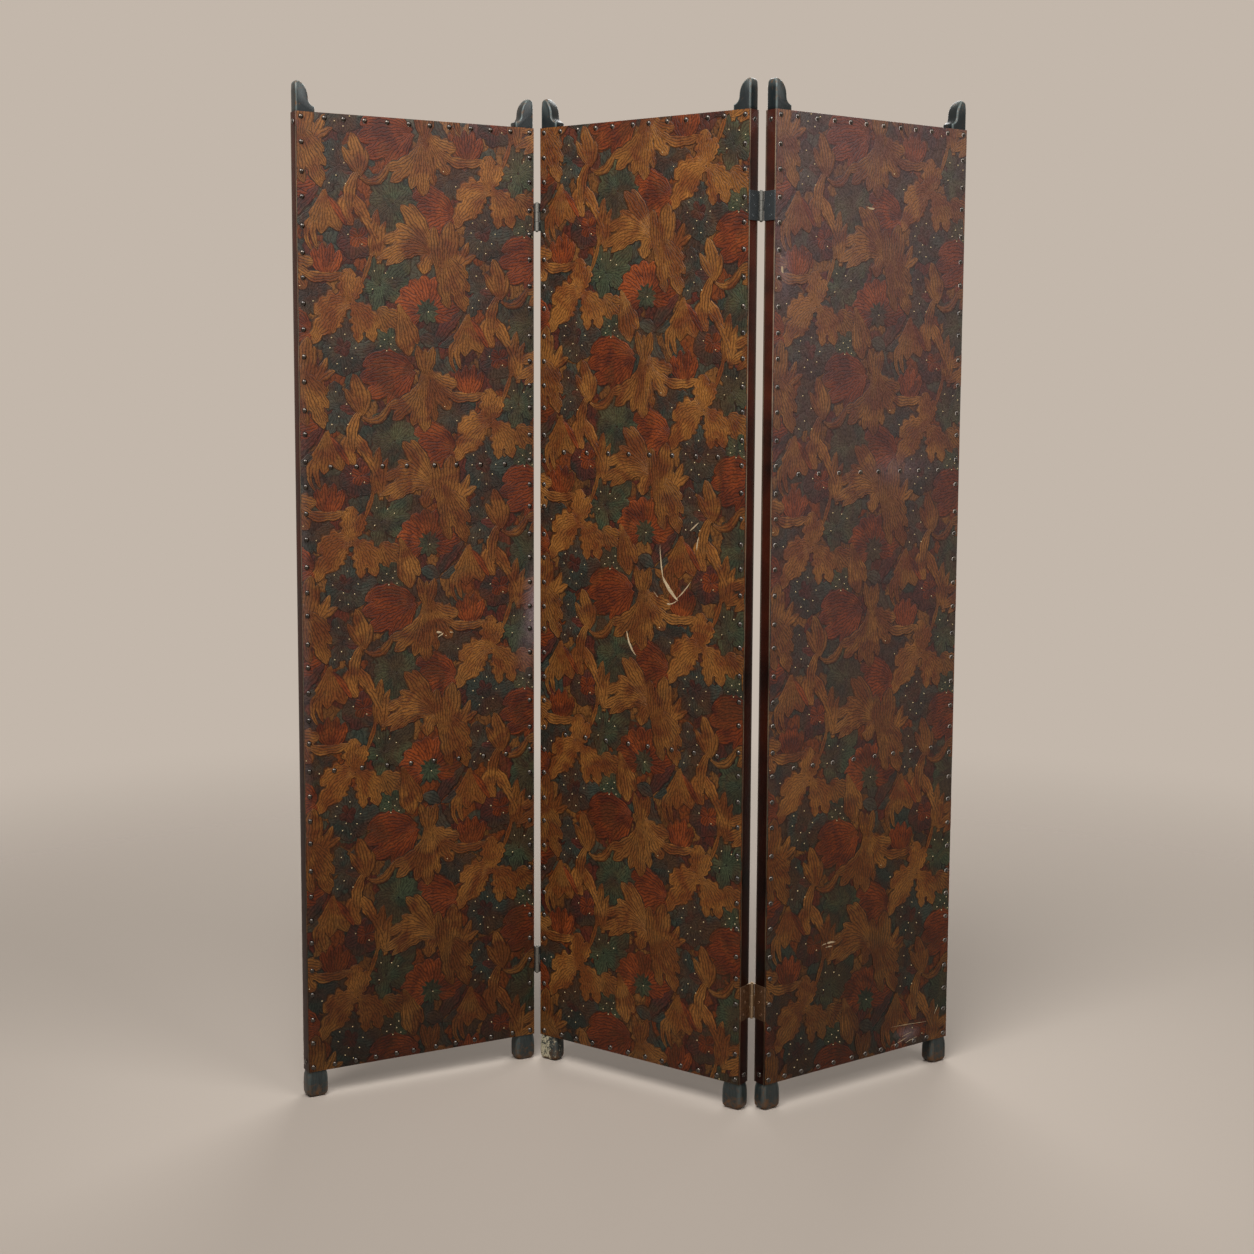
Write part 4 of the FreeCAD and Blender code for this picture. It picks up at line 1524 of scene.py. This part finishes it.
    def nails(self) -> None:
        """Domed nails on the front, on the back and at the ends of the edge strips."""
        head = self.nail_head()
        front = bmesh.new()
        back = bmesh.new()
        sides = [(front, SIZES.front + self.nail_sunk, 90), (back, SIZES.back - self.nail_sunk, -90)]
        for mesh, y, turn in sides:
            outward = Matrix.Rotation(math.radians(turn), 4, "X")
            for x, z in self.nail_places():
                stamp(mesh, head, Matrix.Translation((x, y, z)) @ outward)
        for x, turn in ((0.0, -90), (SIZES.width, 90)):
            sideways = Matrix.Rotation(math.radians(turn), 4, "Y")
            for z in (SIZES.low + self.edge_nail_inset, SIZES.high - self.edge_nail_inset):
                stamp(front, head, Matrix.Translation((x, 0.0, z)) @ sideways)
        brass = [self.shop["bronzed_brass_nails"]]
        self.stand.erect("nail_heads", front, brass, "nails", "front_nails")
        self.stand.erect("back_nail_heads", back, brass, "nails")

    def rails(self) -> None:
        """The hidden rails keep their CAD shape and get a sawn finish."""
        for rail in ("top_rail", "upper_cross_rail", "lower_cross_rail", "bottom_rail"):
            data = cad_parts[self.stand.node(rail)].data
            data.materials.clear()
            data.materials.append(self.shop["sawn_beech"])

    def build(self) -> None:
        """Builds the whole panel."""
        self.front()
        self.reverse()
        self.strips()
        self.nails()
        for side in ("left", "right"):
            Post(self.stand, side, self.shop).build()
        self.rails()


@dataclass
class Hinge:
    """One butt hinge: two leaves with their screws and a loose pin."""

    side: str
    level: str
    height: float
    centre: float
    shop: Workshop
    leaf_face: float = 2.0
    screw_radius: float = 3.2
    screw_top: float = 2.6
    screw_depth: float = 0.8
    screw_spread: float = 0.34
    slot_rim: float = 0.5
    slot_wall: float = 0.4
    slot_depth: float = 0.3
    barrel_radius: float = 4.5
    barrel_rub_and_highlight: float = 0.8
    leaf_arris: float = 0.4
    pin_arris: float = 0.8

    @property
    def name(self) -> str:
        """The hinge's name."""
        return f"{self.side}_{self.level}_hinge"

    @property
    def replaced(self) -> bool:
        """Whether it is the later brass one."""
        return self.name == "right_lower_hinge"

    def brighten_barrel(self, mesh: BMesh) -> None:
        """Marks the barrel, which hands and the fold have rubbed brighter than the plates, and whose
        brighter colour also paints its highlight.

        Args:
            mesh: A leaf or the pin, in metres.
        """
        wear_and_painted_light = mesh.faces.layers.float["wear_and_painted_light"]
        pin = Vector(LEFT_PIN if self.side == "left" else RIGHT_PIN) * MM
        for face in mesh.faces:
            away = (face.calc_center_median().xy - pin).length
            face[wear_and_painted_light] = self.barrel_rub_and_highlight if away < self.barrel_radius * 1.05 * MM else 0.0

    def screws(self, mesh: BMesh, stand: PanelStand, at_left: bool) -> None:
        """Adds the slotted screw heads of one leaf.

        Args:
            mesh: The leaf, in metres.
            stand: The panel that the leaf is screwed to.
            at_left: Whether the leaf is on the panel's left edge.
        """
        x = -self.leaf_face if at_left else SIZES.width + self.leaf_face
        turn = Matrix.Rotation(math.radians(-90 if at_left else 90), 4, "Y")
        lean = 1.0 if self.side == "left" else -1.0
        cone = {"radius1": self.screw_radius, "radius2": self.screw_top, "depth": self.screw_depth}
        for number in (-1, 0, 1):
            y = lean * (1.0 + 6.0 * (abs(number) - 0.5))
            z = self.centre + number * self.height * self.screw_spread
            spot = Matrix.Translation((x, y, z)) @ turn
            head = bmesh.ops.create_cone(mesh, cap_ends=True, segments=14, **cone)
            faces = {f for v in head["verts"] for f in v.link_faces}
            cap = max(faces, key=lambda f: f.calc_center_median().z)
            slot = bmesh.ops.inset_individual(mesh, faces=[cap], thickness=self.slot_rim, depth=0.0)
            bmesh.ops.inset_individual(mesh, faces=[cap], thickness=self.slot_wall, depth=-self.slot_depth)
            verts = list({v for f in [cap, *slot["faces"]] for v in f.verts} | set(head["verts"]))
            bmesh.ops.transform(mesh, matrix=stand.matrix() @ spot, verts=verts)

    def build(self, stands: dict[str, PanelStand]) -> None:
        """Builds both leaves and the pin.

        Args:
            stands: The panels' places.
        """
        finish = [self.shop["tarnished_brass" if self.replaced else "dull_iron"]]
        for panel in (self.side, "middle"):
            node = f"{self.name}_{panel}_leaf"
            mesh = softened(node, self.leaf_arris * MM, 2)
            self.brighten_barrel(mesh)
            at_left = (panel == "middle") == (self.side == "left")
            self.screws(mesh, stands[panel], at_left)
            piece(f"{node}_dressed", mesh, f"{panel}_panel", finish, [node])
        node = f"{self.name}_pin"
        mesh = softened(node, self.pin_arris * MM, 3)
        self.brighten_barrel(mesh)
        piece(f"{node}_dressed", mesh, "middle_panel", finish, [node])


@dataclass
class Studio:
    """Camera, soft lamps and a pale floor that fades into a pale background."""

    background: str = "#c3b7ab"
    floor: str = "#b8aca0"
    floor_radius: float = 4.5
    glow: float = 0.065
    focal_px: float = 1893.0
    rise_px: float = 40.0
    pitch: float = 6.14
    yaw: float = -0.61
    roll: float = 0.27
    eye: tuple[float, float, float] = (-0.0527, -3.4475, 1.307)
    lamp_spread: float = 130.0

    def camera(self) -> None:
        """Stands the camera at the photograph's angle."""
        lens = bpy.data.cameras.new("camera")
        lens.sensor_width = 36.0
        lens.lens = self.focal_px / IMAGE_SIDE * lens.sensor_width
        lens.shift_y = -self.rise_px / IMAGE_SIDE
        made = shown("camera", lens)
        made.location = self.eye
        aim = Matrix.Rotation(math.radians(self.yaw), 3, "Z")
        aim = aim @ Matrix.Rotation(math.radians(90 - self.pitch), 3, "X")
        aim = aim @ Matrix.Rotation(math.radians(self.roll), 3, "Z")
        made.rotation_euler = aim.to_euler()
        bpy.context.scene.camera = made

    def lamp(self, name: str, place: tuple, aim: tuple, size: float, watts: float) -> None:
        """Adds one soft square lamp.

        Args:
            name: Its name.
            place: Where it hangs.
            aim: The point that it faces.
            size: Its side.
            watts: Its power.
        """
        light = bpy.data.lights.new(name, "AREA")
        light.size = size
        light.energy = watts
        light.spread = math.radians(self.lamp_spread)
        made = shown(name, light)
        made.location = place
        made.rotation_euler = (Vector(aim) - Vector(place)).to_track_quat("-Z", "Y").to_euler()

    def world(self) -> None:
        """A soft even light, with a pale background for what looks at it."""
        world = bpy.data.worlds.new("studio")
        bpy.context.scene.world = world
        world.use_nodes = True
        tree = world.node_tree
        tree.nodes.clear()
        path = add(tree, "LightPath").node
        seen = 0.0
        for ray in ("Is Camera Ray", "Is Glossy Ray", "Is Transmission Ray"):
            seen = add(tree, "Math", {0: seen, 1: path.outputs[ray]}, operation="MAXIMUM")
        light = add(tree, "Background", {"Color": (1.0, 0.98, 0.96, 1.0), "Strength": self.glow})
        pale = add(tree, "Background", {"Color": linear(self.background), "Strength": 1.0})
        mix = add(tree, "MixShader", {0: seen, 1: light, 2: pale})
        feed(tree, tree.nodes.new("ShaderNodeOutputWorld"), {"Surface": mix})

    def ground(self) -> None:
        """A round floor, plaster pale, whose border fades out."""
        mesh = bmesh.new()
        bmesh.ops.create_circle(mesh, cap_ends=True, segments=96, radius=self.floor_radius)
        data = stored("floor", mesh)
        data.materials.append(FloorPlaster("matt_plaster_floor", self.floor).material())
        shown("floor", data)

    def build(self) -> None:
        """Builds the studio."""
        bpy.context.scene.view_settings.view_transform = "Standard"
        self.camera()
        self.world()
        self.ground()
        self.lamp("key", (-0.8, -1.8, 3.4), (0.0, 0.0, 1.6), 2.0, 66.0)
        self.lamp("fill", (2.1, -1.8, 3.3), (0.0, 0.0, 1.7), 2.0, 31.0)
        self.lamp("rear", (0.5, 3.0, 3.0), (0.0, 0.0, 0.9), 2.4, 44.0)


# Tears and scratches, where pale leather shows: root, bend, tip and width of narrow bare blades
SCARS = {
    "left": [
        ((236, 932), (262, 924), (292, 930), 3.5),
        ((258, 938), (272, 930), (282, 920), 2.5),
        ((228, 940), (240, 934), (252, 936), 2),
    ],
    "middle": [
        ((276, 758), (278, 795), (285, 826), 2.2),
        ((282, 812), (292, 836), (317, 857), 5.5),
        ((316, 855), (290, 878), (262, 842), 2.5),
        ((312, 854), (328, 842), (344, 820), 2.0),
        ((202, 914), (206, 948), (224, 964), 3.0),
        ((340, 730), (348, 724), (360, 713), 2),
        ((361, 738), (356, 748), (356, 764), 2),
    ],
    "right": [
        ((212, 154), (220, 157), (230, 156), 3),
        ((132, 1490), (148, 1486), (166, 1489), 3),
        ((140, 1496), (150, 1494), (158, 1496), 2),
        ((12, 246), (16, 268), (18, 292), 4),
        ((308, 1680), (350, 1682), (404, 1687), 0.7),
        ((312, 1717), (334, 1714), (352, 1708), 1.0),
        ((340, 1705), (352, 1701), (366, 1700), 0.7),
        ((350, 1718), (366, 1714), (380, 1712), 0.7),
        ((424, 1676), (429, 1668), (433, 1659), 0.7),
    ],
}
SCAR_LAYER = 5
# Rubbed places; those with a negative strength are painted shade, darker towards the foot of each panel
RUBS_AND_SHADE = {
    "left": [
        RubAndShade((456, 890), (14, 60), 0.9),
        RubAndShade((440, 960), (20, 60), 0.3),
        RubAndShade((4, 1000), (8, 500), 0.2),
        RubAndShade((120, 1740), (420, 320), -0.62),
    ],
    "middle": [RubAndShade((180, 1740), (400, 90), -0.3)],
    "right": [
        RubAndShade((350, 1702), (42, 20), 1.1),
        RubAndShade((300, 620), (60, 22), 0.3),
        RubAndShade((20, 270), (14, 40), 0.4),
        RubAndShade((160, 1740), (420, 320), -0.62),
    ],
}
# Painted sheen at the top of each panel, fading downwards
PAINTED_SHEEN = {"left": 0.06, "middle": 0.02, "right": 0.3}
# Each hinge's side, level, height and the height of its middle
HINGES = (
    ("left", "upper", 50.8, 1613.0),
    ("left", "lower", 50.8, 198.0),
    ("right", "upper", 50.8, 1613.0),
    ("right", "lower", 63.5, 198.0),
)


def main() -> None:
    """Builds the screen and the studio."""
    logging.basicConfig(level=logging.INFO, format="%(message)s")
    shop = Workshop()
    cell = FoliageCell()
    repeat = cell.mesh()
    for stand in STANDS:
        scars = [Blade(Dye.BARE, SCAR_LAYER, *scar) for scar in SCARS[stand.name]]
        Panel(stand, shop, cell, repeat, PAINTED_SHEEN[stand.name], RUBS_AND_SHADE[stand.name], scars).build()
    stands = {stand.name: stand for stand in STANDS}
    for side, level, height, centre in HINGES:
        Hinge(side, level, height, centre, shop).build(stands)
    Studio().build()


if __name__ == "__main__":
    main()
